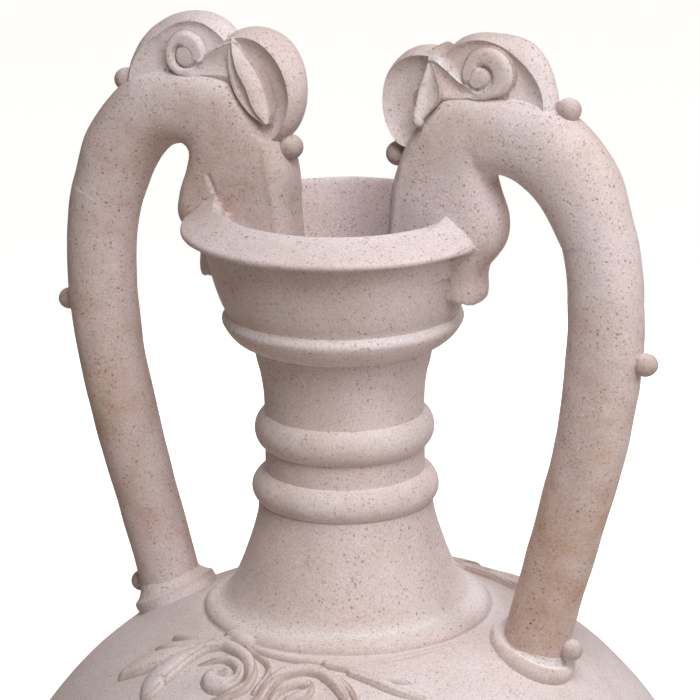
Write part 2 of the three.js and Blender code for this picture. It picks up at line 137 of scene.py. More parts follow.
def joined(*lines):
    # Lines end to end, without the double point where one starts at the end of the last.
    kept = [np.asarray(lines[0], float)]
    for line in lines[1:]:
        line = np.asarray(line, float)
        kept.append(line[1:] if np.allclose(line[0], kept[-1][-1]) else line)
    return np.concatenate(kept)


def lineDistance(points, line):
    # Least distance from each point to the legs of a line, and the place along the line from 0 to 1.
    line = np.asarray(line, float)
    best = np.full(points.shape[:-1], np.inf)
    place = np.zeros(points.shape[:-1])
    run = runAlong(line)
    for i, leg in enumerate(np.diff(line, axis=0)):
        share = np.clip(((points - line[i]) @ leg) / (leg @ leg), 0, 1)
        gap = np.linalg.norm(points - (line[i] + share[..., None] * leg), axis=-1)
        nearer = gap < best
        best = np.where(nearer, gap, best)
        place = np.where(nearer, (run[i] + share * np.linalg.norm(leg)) / run[-1], place)
    return best, place


# Grids: rows along, columns across. A grid closes across, and along too or ends on two poles.

def gridNormals(grid, wrap):
    # Cross product of the two grid directions, by central differences.
    along = np.roll(grid, -1, 0) - np.roll(grid, 1, 0)
    if not wrap:
        along[0] = grid[1] - grid[0]
        along[-1] = grid[-1] - grid[-2]
    across = np.roll(grid, -1, 1) - np.roll(grid, 1, 1)
    normals = np.cross(along, across)
    return normals / np.maximum(np.linalg.norm(normals, axis=-1, keepdims=True), 1e-9)


def gridVolume(grid, wrap):
    # Signed volume under the quads, with the open ends closed on their mean points.
    nextRow = np.roll(grid, -1, 0) if wrap else grid[1:]
    row = grid if wrap else grid[:-1]
    a, b = row, np.roll(row, -1, 1)
    d, c = nextRow, np.roll(nextRow, -1, 1)
    volume = (a * np.cross(b, c)).sum() + (a * np.cross(c, d)).sum()
    if not wrap:
        for ring, sign in ((grid[0], -1), (grid[-1], 1)):
            volume += sign * (ring.mean(0) * np.cross(ring, np.roll(ring, -1, 0))).sum()
    return volume


# Slight unevenness of hand-worked clay: sine waves in seeded directions, about -1 to 1.
chance = np.random.default_rng(11)
waveCount = 28
waveTurns = chance.normal(size=(waveCount, 3))
waveTurns /= np.linalg.norm(waveTurns, axis=1, keepdims=True)
waveLengths = chance.uniform(8, 42, waveCount)
wavePhases = chance.uniform(0, 2 * math.pi, waveCount)


def unevenness(grid):
    angles = grid.reshape(-1, 3) @ (waveTurns * (2 * math.pi / waveLengths[:, None])).T + wavePhases
    weights = waveLengths / waveLengths.sum()
    return (np.sin(angles) @ weights).reshape(grid.shape[:-1]) * 3


def handWorked(grid, depth, wrap=False):
    return grid + gridNormals(grid, wrap) * (depth * unevenness(grid))[..., None]


def bending(grid, wrap, distance=2.0):
    # How far the mean of the neighbours at a distance lies outside (hollow, +) or inside (ridge, -).
    steps = (np.linalg.norm(np.diff(grid, axis=axis), axis=-1).mean() for axis in (0, 1))
    rows, cols = (int(np.clip(round(distance / max(step, 1e-6)), 1, count // 3))
                  for step, count in zip(steps, grid.shape))
    if wrap:
        before, after = np.roll(grid, rows, 0), np.roll(grid, -rows, 0)
    else:
        index = np.arange(len(grid))
        before, after = grid[np.maximum(index - rows, 0)], grid[np.minimum(index + rows, len(grid) - 1)]
    mean = (before + after + np.roll(grid, cols, 1) + np.roll(grid, -cols, 1)) / 4
    return ((mean - grid) * gridNormals(grid, wrap)).sum(-1) / distance


def addPiece(name, grids, nodes, slot, slip=None, soil=None, sharp=42, wrap=False):
    # One mesh from closed grids, in the clay of its slot, with its shading masks as attributes.
    # Edges of more than the sharp angle, in degrees, are not smoothed.
    places, quads, fans = [], [], [np.zeros((0, 3), int)]
    values = {"bend": [], "slip": [], "soil": []}
    start = 0
    for grid in grids:
        if gridVolume(grid, wrap) < 0:
            grid = grid[:, ::-1]
        rows, cols = grid.shape[:2]
        row, col = np.arange(rows if wrap else rows - 1)[:, None], np.arange(cols)
        nextRow, nextCol = (row + 1) % rows, (col + 1) % cols
        quad = [row * cols + col, nextRow * cols + col, nextRow * cols + nextCol, row * cols + nextCol]
        quads.append(np.stack(quad, -1).reshape(-1, 4) + start)
        places.append(grid.reshape(-1, 3))
        bend = bending(grid, wrap)
        if slot == "body":
            # The joint at the girth is smoothed over and keeps no worn edge and no painted shade.
            bend = bend * (1 - bell(grid[..., 2] - girthHeight, 4))
        values["bend"].append(bend.ravel())
        for key, mask in (("slip", slip), ("soil", soil)):
            values[key].append((mask(grid) if mask else np.zeros((rows, cols))).ravel())
        start += rows * cols
        if not wrap:
            first, last = start - rows * cols, start - cols
            fans.append(np.stack([np.full(cols, start), first + col, first + nextCol], 1))
            fans.append(np.stack([np.full(cols, start + 1), last + nextCol, last + col], 1))
            places.append(np.stack([grid[0].mean(0), grid[-1].mean(0)]))
            for parts in values.values():
                parts.append(np.zeros(2))
            start += 2
    places = np.concatenate(places) * toMetres
    quads, fans = np.concatenate(quads), np.concatenate(fans)
    corners = np.concatenate([quads.ravel(), fans.ravel()])
    starts = np.concatenate([np.arange(len(quads)) * 4, len(quads) * 4 + np.arange(len(fans)) * 3])
    mesh = bpy.data.meshes.new(name)
    mesh.vertices.add(len(places))
    mesh.vertices.foreach_set("co", places.ravel())
    mesh.loops.add(len(corners))
    mesh.loops.foreach_set("vertex_index", corners.astype(np.int32))
    mesh.polygons.add(len(starts))
    mesh.polygons.foreach_set("loop_start", starts.astype(np.int32))
    mesh.update(calc_edges=True)
    mesh.validate()
    mesh.shade_smooth()
    mesh.set_sharp_from_angle(angle=math.radians(sharp))
    for key, parts in values.items():
        attribute = mesh.attributes.new(key, "FLOAT", "POINT")
        attribute.data.foreach_set("value", np.concatenate(parts).astype(np.float32))
    mesh.materials.append(clay[slot])
    piece = bpy.data.objects.new(name, mesh)
    scene.collection.objects.link(piece)
    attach(piece, "root")
    if nodes:
        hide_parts(*nodes)


# Finishes

def setInput(socket, value):
    # Links the socket to another one, or sets its value.
    if isinstance(value, bpy.types.NodeSocket):
        socket.id_data.links.new(value, socket)
    else:
        socket.default_value = value


def emptied(block):
    # Node tree of a new material or world, without the nodes it starts with.
    block.use_nodes = True
    block.node_tree.nodes.clear()
    return block.node_tree


def addNode(tree, kind, *inputs, **settings):
    # A node with its first inputs in their order, and its properties and other inputs by name.
    node = tree.nodes.new(kind)
    for key, value in settings.items():
        if key in node.inputs:
            setInput(node.inputs[key], value)
        else:
            setattr(node, key, value)
    for socket, value in zip(node.inputs, inputs):
        setInput(socket, value)
    return node


def newGroup(name, inputs, outputs):
    # A node group, the sockets it is given and those it hands out. An input without a value is a vector.
    group = bpy.data.node_groups.new(name, "ShaderNodeTree")
    for label, value in inputs.items():
        kind = "NodeSocketVector" if value is None else "NodeSocketFloat"
        socket = group.interface.new_socket(name=label, in_out="INPUT", socket_type=kind)
        if value is not None:
            socket.default_value = value
    for label in outputs:
        group.interface.new_socket(name=label, in_out="OUTPUT", socket_type="NodeSocketFloat")
    return group, group.nodes.new("NodeGroupInput").outputs, group.nodes.new("NodeGroupOutput").inputs


def compute(tree, operation, *values, clamp=False):
    return addNode(tree, "ShaderNodeMath", *values, operation=operation, use_clamp=clamp).outputs[0]


def ramp(tree, *values):
    # Smooth step of a value from low to high, to the range from bottom to top if these are given too.
    return addNode(tree, "ShaderNodeMapRange", *values, interpolation_type="SMOOTHSTEP").outputs["Result"]


def linear(color):
    # An sRGB colour from 0 to 255 as linear light, with alpha 1.
    parts = [c / 255 for c in color]
    return [v / 12.92 if v <= 0.04045 else ((v + 0.055) / 1.055)**2.4 for v in parts] + [1]


def tinted(tree, base, mask, color):
    # base (1 - mask) + color mask
    node = addNode(tree, "ShaderNodeMix", mask, data_type="RGBA")
    for place, value in ((6, base), (7, linear(color))):
        setInput(node.inputs[place], value)
    return node.outputs[2]


# Grog specks: cells of a Voronoi pattern, of which a share holds a round grain of its own size.
specks, given, handed = newGroup(
    "grogSpecks", {"Position": None, "Cells per metre": 600, "Share": 0.3, "Size": 0.3}, ["Mask"])
ragged = addNode(specks, "ShaderNodeTexNoise", Vector=given["Position"], Scale=1500, Detail=2)
offset = addNode(specks, "ShaderNodeVectorMath", ragged.outputs["Color"], [0.0011] * 3, given["Position"],
                 operation="MULTIPLY_ADD")
cell = addNode(specks, "ShaderNodeTexVoronoi", feature="F1", Vector=offset.outputs[0],
               Scale=given["Cells per metre"], Randomness=1)
red, green, _ = addNode(specks, "ShaderNodeSeparateColor", cell.outputs["Color"]).outputs
grain = compute(specks, "MULTIPLY", given["Size"], compute(specks, "ADD", green, 0.25))
rounded = ramp(specks, compute(specks, "SUBTRACT", grain, cell.outputs["Distance"]), 0, 0.1)
chosen = compute(specks, "LESS_THAN", red, given["Share"])
setInput(handed["Mask"], compute(specks, "MULTIPLY", rounded, chosen))

# Kiln bloom: two sizes of soft noise, as a mask from 0 to 1.
bloom, given, handed = newGroup(
    "kilnBloom", {"Position": None, "Broad": 14, "Fine": 90}, ["Broad mask", "Fine mask"])
for label, detail, low, high in (("Broad", 3, 0.36, 0.66), ("Fine", 4, 0.35, 0.68)):
    noise = addNode(bloom, "ShaderNodeTexNoise", Vector=given["Position"], Scale=given[label],
                    Detail=detail, Roughness=0.6)
    setInput(handed[label + " mask"], ramp(bloom, noise.outputs["Fac"], low, high))

finish = {
    # Strength of each layer, from 0 to 1 (the layer in hollows is painted shade as well as grime)
    "body": {
        "clay": (226, 214, 215), "warm": 0.30, "rust": 0.10, "lowRust": 0, "slip": 0.5, "grime": 0.55,
        "specks": 0.5},
    "neck": {
        "clay": (227, 212, 213), "warm": 0.40, "rust": 0.14, "lowRust": 0, "slip": 0.6, "grime": 0.34,
        "specks": 0.8},
    "handles": {
        "clay": (222, 207, 208), "warm": 0.45, "rust": 0.36, "lowRust": 0.32, "slip": 0.6, "grime": 0.38,
        "specks": 0.92},
    "applied": {
        "clay": (227, 214, 215), "warm": 0.35, "rust": 0.20, "lowRust": 0, "slip": 0.8, "grime": 0.42,
        "specks": 0.65},
    "shades": {
        # The shade for hollows is painted shade as well as grime
        "warm": (206, 182, 170), "cool": (214, 206, 212), "rust": (188, 148, 116), "grime": (140, 108, 90),
        # The shade beside the relief's strokes is painted shade as well as soil
        "soil": (146, 112, 88), "chalk": (240, 238, 240), "speck": (136, 92, 68), "pit": (108, 74, 56),
        "ochre": (188, 124, 84)},
    # Cells per metre, share of the cells with a grain, and size of the grain in its cell
    "fine": (1250, 0.55, 0.42), "grog": (680, 0.40, 0.36), "ochre": (300, 0.2, 0.22),
    "pits": (230, 0.13, 0.14),
    # Heights in metres between which the handles' lower rust sets in
    "rustFrom": 0.47, "rustFull": 0.40,
    "hollow": (0.07, 0.32), "ridge": (-0.08, -0.34), "cool": 0.22, "roughness": 0.88, "specular": 0.25,
    "grainHeight": 0.00012, "pitHeight": 0.0005,
}


def clayMaterial(name, own):
    # Clay, then bloom, rust, painted shade with grime in hollows, painted shade with soil beside the
    # relief, worn ridges, chalk, specks and pits; fine bumps.
    material = bpy.data.materials.new(name)
    tree = emptied(material)
    shader = addNode(tree, "ShaderNodeBsdfPrincipled")
    shader.inputs["Specular IOR Level"].default_value = finish["specular"]
    addNode(tree, "ShaderNodeOutputMaterial", shader.outputs[0])
    position = addNode(tree, "ShaderNodeTexCoord").outputs["Object"]

    def times(*values, clamp=False):
        return compute(tree, "MULTIPLY", *values, clamp=clamp)

    def timesPlus(*values, clamp=False):
        return compute(tree, "MULTIPLY_ADD", *values, clamp=clamp)

    def noiseAt(scale, detail, roughness):
        return addNode(tree, "ShaderNodeTexNoise", Vector=position, Scale=scale, Detail=detail,
                       Roughness=roughness).outputs["Fac"]

    def speckMask(kind):
        return addNode(tree, "ShaderNodeGroup", position, *finish[kind], node_tree=specks).outputs["Mask"]

    bend, slip, soil = (addNode(tree, "ShaderNodeAttribute", attribute_name=label).outputs["Fac"]
                        for label in ("bend", "slip", "soil"))
    broad, fine = addNode(tree, "ShaderNodeGroup", position, node_tree=bloom).outputs
    rust = times(times(broad, fine), own["rust"])
    if own["lowRust"]:
        height = addNode(tree, "ShaderNodeSeparateXYZ", position).outputs["Z"]
        low = ramp(tree, height, finish["rustFrom"], finish["rustFull"])
        rust = timesPlus(times(low, timesPlus(broad, 0.9, 0.1)), own["lowRust"], rust, clamp=True)
    amount = own["specks"]
    dense = ramp(tree, noiseAt(60, 3, 0.7), 0.36, 0.62, 0.45 * amount, amount)
    grog, pits = speckMask("grog"), speckMask("pits")
    base = addNode(tree, "ShaderNodeRGB")
    base.outputs[0].default_value = linear(own["clay"])
    color = base.outputs[0]
    for shade, mask in (
            ("warm", times(broad, own["warm"])),
            ("cool", times(fine, finish["cool"])),
            ("rust", rust),
            # Painted shade: hollows darkened by how concave they are, standing for the shade that falls
            # there, with some grime
            ("grime", times(ramp(tree, bend, *finish["hollow"]), own["grime"])),
            # Painted shade: a dark band beside the relief's strokes, standing for the shade at their feet,
            # with some soil
            ("soil", times(soil, 1, clamp=True)),
            ("warm", times(ramp(tree, bend, *finish["ridge"]), timesPlus(fine, 0.5, 0.2))),
            ("chalk", times(slip, timesPlus(fine, 0.5, own["slip"]), clamp=True)),
            ("speck", times(speckMask("fine"), times(dense, 0.42))),
            ("speck", times(grog, times(dense, 0.62))),
            ("ochre", times(speckMask("ochre"), 0.5 * amount)),
            ("pit", times(pits, 0.75 * amount))):
        color = tinted(tree, color, mask, finish["shades"][shade])
    grain = noiseAt(1150, 5, 0.75)
    scaled = addNode(tree, "ShaderNodeVectorMath", color, operation="SCALE", Scale=timesPlus(grain, 1, 0.5))
    height = times(grain, finish["grainHeight"])
    for layer, rise in ((noiseAt(240, 5, 0.65), finish["grainHeight"] * 3), (pits, -finish["pitHeight"]),
                        (grog, -finish["pitHeight"] / 4)):
        height = timesPlus(layer, rise, height)
    bump = addNode(tree, "ShaderNodeBump", Strength=0.9, Distance=1, Height=height)
    roughness = timesPlus(fine, 0.08, finish["roughness"] - 0.04)
    for key, value in (("Base Color", scaled.outputs[0]), ("Roughness", roughness),
                       ("Normal", bump.outputs[0])):
        setInput(shader.inputs[key], value)
    return material


clay = {slot: clayMaterial(slot + "Clay", finish[slot]) for slot in ("body", "neck", "handles", "applied")}
print("finishes made:", len(clay))

# Chalk along joints and creases: strength, and width in mm
chalk = {
    "seat": (0.35, 3.5), "cove": (0.5, 2.2), "collar": (0.5, 1.6), "rim": (0.25, 1.2), "seam": (0.35, 3),
    "crease": (0.12, 1.4), "mouth": (0.3, 1.6), "crestSeam": (0.4, 1.5), "crestEnd": (0.5, 4.5),
    "groove": (0.9, 0.5), "leftRoll": (0, 1.5), "rightRoll": (0.6, 1.5),
}


def chalked(place, distance):
    strength, width = chalk[place]
    return strength * bell(distance, width)


# Turned pieces

turned = {
    "columns": 300, "cupColumns": 480, "step": 0.8, "unevenness": 0.16, "neckBore": 26, "wall": 9,
    "floor": 12, "baseRadius": 65, "footLean": 14, "footPull": 40, "bellyDrop": 72, "shoulderRise": 70,
    "shoulderSpread": 50.5, "shoulderDrop": 12, "seatRadius": 61, "seatMouth": 45, "seatRise": 1.6,
    "ringThickness": 15.6, "ringHalf": 7.6, "ringPitch": 25.6, "lowerReach": 6, "upperReach": 4.4,
    "neckRadius": 33.9, "neckTop": -23.5, "jointGap": 0.3, "ringBlend": 0.3,
}


def lathe(line, columns=turned["columns"]):
    # Point (i, theta) is the profile's point i turned by theta about the Z axis.
    theta = circle(columns)
    line = np.asarray(line, float)
    return np.concatenate([onCircle(line[:, :1], theta), (line[:, 1:2] + 0 * theta)[..., None]], -1)


def inward(line, distance):
    # The line moved to its left by a distance.
    along = unit(np.gradient(line, axis=0))
    return line + distance * np.stack([-along[:, 1], along[:, 0]], 1)


shoulderLine = bezier(
    (bodyRadius, girthHeight), (bodyRadius, girthHeight + turned["shoulderRise"]),
    (turned["seatRadius"] + turned["shoulderSpread"], bodyHeight - turned["shoulderDrop"]),
    (turned["seatRadius"], bodyHeight), 150)
bellyLine = bezier(
    (turned["baseRadius"], 0), (turned["baseRadius"] + turned["footLean"], turned["footPull"]),
    (bodyRadius, girthHeight - turned["bellyDrop"]), (bodyRadius, girthHeight), 150)


def shoulderHeight(radius):
    return np.interp(radius, shoulderLine[::-1, 0], shoulderLine[::-1, 1])


def turnedPiece(node, line, slot, slip=None, wrap=True):
    grid = lathe(line)
    depth = turned["unevenness"]
    if slot == "body":
        # The unevenness fades at the girth, so that the joint there stays closed.
        depth = depth * (1 - bell(grid[..., 2] - girthHeight, 6))
    grid = handWorked(grid, depth, wrap)
    grid[..., 2] = np.maximum(grid[..., 2], 0)
    addPiece(node.replace("_", ""), [grid], [node], slot, slip, wrap=wrap)


def shoulderSlip(grid):
    # Chalk lies round the seat of the neck.
    return chalked("seat", np.hypot(grid[..., 0], grid[..., 1]) - turned["seatRadius"])


def makeBody():
    wall, floor, base, mouth = (turned[key] for key in ("wall", "floor", "baseRadius", "seatMouth"))
    inside = inward(bellyLine, wall)
    inside = inside[inside[:, 1] > floor + 6][::-1]
    inside[0, 1] = girthHeight
    foot = [(2, 0), (base - 3, 0), (base - 0.6, 0.6)]
    line = joined(foot, bellyLine[3:], inside, [(base - wall, floor), (2, floor)])
    turnedPiece("foot_body", line, "body", wrap=False)
    inside = inward(shoulderLine, wall)[::-1]
    inside[-1] = (bodyRadius - wall, girthHeight)
    line = joined(shoulderLine, [(mouth, bodyHeight + turned["seatRise"]), (mouth, inside[0, 1])], inside)
    turnedPiece("shoulder_body", line, "body", shoulderSlip)


# Lines of the neck, the collar and the cup: radius, and height from each one's base
neck = {
    "hem": [(60.6, -3.4), (61.2, -1.8), (61.3, 0.2), (60.5, 2), (58.9, 3.2), (57, 3.8), (55, 4.3)],
    "skirt": [(55, 4.3), (53, 6), (49.9, 9.8), (47.1, 14.8), (44.9, 19.8), (43.1, 24.5), (41.4, 29.2),
        (39.8, 34), (38.4, 39), (37.4, 43.6), (36.9, 49.5)],
    "inside": [(26, 46.3), (29, 28), (43, 8), (45, 0.5)],
    "flare": [(33.9, -23.5), (34.2, -17), (35.2, -9.5), (36.4, -5), (37.4, 0), (38.2, 3.6)],
    "collar": [(36.4, 0.6), (37.8, 2.8), (39.6, 3.6), (42, 4.5), (44.8, 6), (47.4, 8.2), (49.3, 10.7),
        (50.5, 12.8), (50.9, 14.2), (50.6, 15.5), (49.9, 16.7), (49.3, 17.8)],
    "cup": [(48.6, -2.4), (49.1, -0.4), (49.5, 1.4), (51.2, 5), (53, 10), (54.6, 15.6), (56.2, 22.4),
        (57.4, 28.6), (58.2, 31.6), (60, 33), (63, 33.4)],
    "lipUnder": [(63, 33.4), (66, 33.8), (67.1, 34.6), (67.35, 35.8), (66.9, 36.7)],
    "lipTop": [(66.9, 36.7), (51.6, 43.8)],
    "mouthEdge": [(51.6, 43.8), (50.8, 44.05), (50.1, 43.7), (49.6, 42.4)],
    "cupInside": [(49.6, 42.4), (48.6, 34), (47.4, 24), (45.2, 13), (41, 4), (36, -2)],
}


def neckLine(key, height, step=turned["step"]):
    # One of these lines at its height, in even steps.
    return evenLine(np.add(neck[key], (0, height)), step)


def ringLine(height, reachOut):
    # A pressed coil: R = neck + smooth maximum of reach (1 - s^2)^0.7 and zero, so that creases are round.
    radius, half, blend = turned["neckRadius"], turned["ringHalf"], turned["ringBlend"]
    s = np.linspace(-1.12, 1.12, 61)
    bulge = np.where(abs(s) < 1, reachOut * (1 - np.minimum(abs(s), 1)**2)**0.7, -9 * (abs(s) - 1))
    out = np.logaddexp(bulge / blend, 0) * blend
    line = np.stack([radius - 0.15 + out, height + s * half], 1)
    return np.concatenate([line, [(radius - 2, height + 1.1 * half), (radius - 2, height - 1.1 * half)]])


def skirtSlip(grid):
    # Chalk lies in the cove above the hem.
    return chalked("cove", grid[..., 2] - bodyHeight - 5.4)


def collarSlip(grid):
    # Chalk lies just below the collar's edge.
    return chalked("collar", grid[..., 2] - cupBase + 1.5)


def makeNeck():
    outside = joined(neckLine("hem", bodyHeight), neckLine("skirt", bodyHeight))
    turnedPiece("neck_skirt", joined(outside, neckLine("inside", bodyHeight, 3)), "neck", skirtSlip)
    radius, bore = turned["neckRadius"], turned["neckBore"]
    tube = evenLine([(radius, neckBase), (radius, collarBase + turned["neckTop"])], turned["step"])
    line = joined(tube, neckLine("flare", collarBase), [(bore, collarBase), (bore, neckBase)])
    turnedPiece("neck_tube", line, "neck")
    lower = neckBase + turned["ringThickness"] / 2 + turned["jointGap"]
    turnedPiece("neck_ring_lower", ringLine(lower, turned["lowerReach"]), "applied")
    turnedPiece("neck_ring_upper", ringLine(lower + turned["ringPitch"], turned["upperReach"]), "applied")
    line = joined(neckLine("collar", collarBase), [(bore + 14, cupBase), (bore, collarBase + 0.4)])
    turnedPiece("mouth_collar", line, "neck", collarSlip)


# The lip's leaves beside the heads
leaf = {
    "mouthRadius": 50.8, "outerRadius": 56, "outerHeight": 36.2, "spread": 6.2, "flank": 13.6, "bow": 0.6,
    "drop": 12, "pullDepth": 10, "pullEnd": (14, 30),
    "left": {"rise": 5.4, "apex": 0.17, "inner": -0.4, "pull": 3},
    "right": {"rise": 7, "apex": 0.277, "inner": 0.1, "pull": 0},
}


def lipShaped(grid):
    # Beside each head the lip climbs into the mouth: a tent across the lip that fades along the rim.
    mouth = leaf["mouthRadius"]
    radius = np.hypot(grid[..., 0], grid[..., 1])
    across = np.clip((radius - mouth) / (lipRadius - mouth), 0, 1)
    right = grid[..., 0] > 0
    rise, apex, start, pull = (np.where(right, leaf["right"][key], leaf["left"][key])
                               for key in ("rise", "apex", "inner", "pull"))
    climb = start + (1 - start) * across / apex
    fall = np.clip((1 - across) / (1 - apex), 0, 1)
    tent = np.where(across < apex, climb, np.where(right, fall**leaf["bow"], fall))
    depth = rimHeight - grid[..., 2]
    below = np.clip(1 - depth / leaf["drop"], 0, 1)**1.5
    away = np.maximum(abs(grid[..., 1]) - leaf["flank"], 0)
    fade = np.exp(-(away / leaf["spread"])**1.25) * (abs(grid[..., 0]) > 30)
    outside = (grid[..., 2] < cupBase + leaf["outerHeight"]) & (radius > leaf["outerRadius"])
    drawn = pull * fade * smoothStep(depth, 0, leaf["pullDepth"])
    drawn = drawn * (1 - smoothStep(depth, *leaf["pullEnd"])) * (radius < mouth)
    shaped = grid * np.stack([1 - drawn / radius] * 2 + [1 + 0 * drawn], -1)
    shaped[..., 2] += np.where(outside, 0, rise * tent * fade * np.where(across > 0, 1, below))
    return shaped


def cupSlip(grid):
    # A little chalk lies on the top of the rim.
    return chalked("rim", grid[..., 2] - rimHeight + 0.5)


def makeCup():
    steps = {"cup": turned["step"], "lipUnder": 0.35, "lipTop": 0.7, "mouthEdge": 0.4, "cupInside": 1.2}
    line = joined(*(neckLine(key, cupBase, step) for key, step in steps.items()))
    grid = handWorked(lipShaped(lathe(line, turned["cupColumns"])), turned["unevenness"] * 1.3, wrap=True)
    addPiece("mouthcup", [grid], ["mouth_cup"], "neck", cupSlip, wrap=True)


makeBody()
makeNeck()
makeCup()
print("turned pieces made")


# Handles and heads: outlines are measured outwards and upwards from the lip's edge.

handle = {
    "foot": (84.7, 341.3), "footPull": (11.7, 49.1), "headPull": (16.3, -53.9),
    "end": (45.6, -3.4), "sink": 16, "tongue": 6, "taper": 0.16, "rows": 190, "columns": 112,
    "unevenness": 0.3,
    "share": [0, 0.12, 0.25, 0.4, 0.55, 0.7, 0.85, 1],
    "left": {
        "radius": [13.7, 13.4, 13.4, 13.9, 14.4, 14.3, 14.7, 15.3],
        "sway": [-0.8, -0.7, -1, -1.5, -1.3, -1.9, -1.9, -1.6],
    },
    "right": {
        "radius": [13.7, 13.8, 14, 14.4, 15, 15.4, 15.5, 15.2],
        "sway": [1.3, 1.5, 1.3, 1.1, 1.4, 1, 1, 2.4],
    },
    "spreadIn": {"left": 1, "right": 0.6},
}
head = {
    "rows": 250, "columns": 240, "unevenness": 0.22, "gapeFloor": -9.6, "cheek": (3, -3), "cheekRise": 1.2,
    "left": {
        "back": [(49.8, 25), (31.6, 45.6), (9, 53.4), (-19, 51.2), (-37.4, 33), (-45.4, 14), (-46.4, -6),
            (-48, -21)],
        "throat": [(21.8, 7.2), (13.6, 17.6), (4.4, 20.8), (0.4, 17.4), (2.2, 11), (6.1, -0.5), (6.4, -11),
            (-4.4, -22.6)],
        "apex": (-15.4, 3.2), "inner": (-19.6, -9.6), "outer": (-0.6, -8.4),
        "crease": [(-12.6, 11.2), (-15.2, 4.6), (-18.2, -2.4), (-22.6, -8.4)],
        "creaseDepth": 1.1, "gapeDepth": 1.1,
        "seam": [(23.3, 48.2), (17.7, 50.4), (9.7, 53.5), (3.5, 52.2), (-10.5, 51.2), (-17.5, 50.4),
            (-24.4, 49.2), (-31, 39.2), (-36.4, 35.5)],
        "flute": [(-1, 22), (1, 14), (4, 8)],
        "fluteDepth": 0.3,
        "ridge": [(-37.4, 27), (-38.9, 22.8), (-40.2, 12.4), (-42, -0.2), (-43.6, -12)],
        "ridgeRise": 0.9,
    },
    "right": {
        "back": [(53.6, 28), (34.6, 47.2), (9, 53.4), (-17, 51.6), (-33, 34), (-41, 13), (-43.6, -6),
            (-46, -21)],
        "throat": [(23.1, 8.9), (13.4, 17.8), (4.6, 20.6), (1.2, 17.4), (2.8, 11.4), (6.6, 0.4),
            (5.2, -10.4), (-4.4, -23.2)],
        "apex": (-14.1, 5.3), "inner": (-18.6, -8), "outer": (0, -8.2),
        "crease": [(-15.8, 8.4), (-14.1, 5.3)],
        "creaseDepth": 0.4, "gapeDepth": 0.25,
        "seam": [(28.7, 51.3), (20.7, 52.9), (11.1, 55.5), (4.7, 53.8), (-3.4, 51.6), (-10.7, 51),
            (-15.6, 49.4), (-23, 43.1), (-26.3, 41.3)],
        "flute": [(-2.4, 30), (-1, 25.4), (0.3, 20.9), (2.2, 15), (4.2, 8)],
        "fluteDepth": 1.5,
        "ridge": [(-34, 22), (-36.6, 12), (-38.6, -2), (-40, -12)],
        "ridgeRise": 0.7,
    },
    "halfWidths": [15.25, 15.2, 15.15, 15.1, 15, 14.8, 14.4, 13.6, 12.2],
    "backSquareness": [2, 2.1, 2.3, 2.6, 3, 3.4, 3.6, 3.6, 3.6],
    "throatSquareness": [2, 2.05, 2.15, 2.3, 2.5, 2.8, 3, 3, 3],
}


def fromLip(points):
    return np.asarray(points, float) + (lipRadius, rimHeight)


def aboutLip(grid):
    # Distance out and up from the lip's edge.
    return np.stack([abs(grid[..., 0]), grid[..., 2]], -1) - (lipRadius, rimHeight)


def planeToSpace(side, flat, y):
    # A point (out, up) of the handles' plane and its distance y in front of or behind it.
    sign = sides[side]
    return np.stack([sign * flat[..., 0] + 0 * y, sign * y, flat[..., 1] + 0 * y], -1)


def handleLine(side):
    foot = np.array(handle["foot"])
    end = fromLip(handle["end"])
    line = bezier(foot, foot + handle["footPull"], end + handle["headPull"], end, handle["rows"])
    share = np.linspace(0, 1, handle["rows"])
    line[:, 0] += np.interp(share, handle["share"], handle[side]["sway"])
    return line


def handleRadius(side, share):
    # Half-thickness outwards and inwards; the inner side swells towards the head.
    radius = np.interp(share, handle["share"], handle[side]["radius"])
    if np.size(share) > 1:
        radius = smoothed(radius, 25)
    return radius, radius + handle["spreadIn"][side] * smoothStep(share, 0.55, 1)


def tubeGrid(side):
    # Circle carried along the mid-line, in the frame of the line's normal and the Y axis.
    line = handleLine(side)
    below = line[0] - unit(line[1] - line[0]) * handle["sink"]
    line = np.concatenate([np.linspace(below, line[0], 14)[:-1], line])
    along = unit(np.gradient(line, axis=0))
    out = np.stack([along[:, 1], -along[:, 0]], 1)
    radius, inner = handleRadius(side, np.linspace(0, 1, len(line)))
    # The last stretch runs on inside the head, a little thinner.
    away = np.linspace(0.4, handle["tongue"], 12)
    line = np.concatenate([line, line[-1] + along[-1] * away[:, None]])
    out = np.concatenate([out, np.repeat(out[-1:], len(away), 0)])
    radius, inner = (np.concatenate([r, r[-1] - handle["taper"] * away])[:, None] for r in (radius, inner))
    v = circle(handle["columns"])
    reachOut = np.where(np.cos(v) > 0, radius, inner) * np.cos(v)
    return planeToSpace(side, line[:, None] + out[:, None] * reachOut[..., None], radius * np.sin(v))


def under(points, a, b):
    # How far the points lie to the right of the line from a to b.
    leg = np.subtract(b, a) / np.linalg.norm(np.subtract(b, a))
    return (points[..., 0] - a[0]) * leg[1] - (points[..., 1] - a[1]) * leg[0]


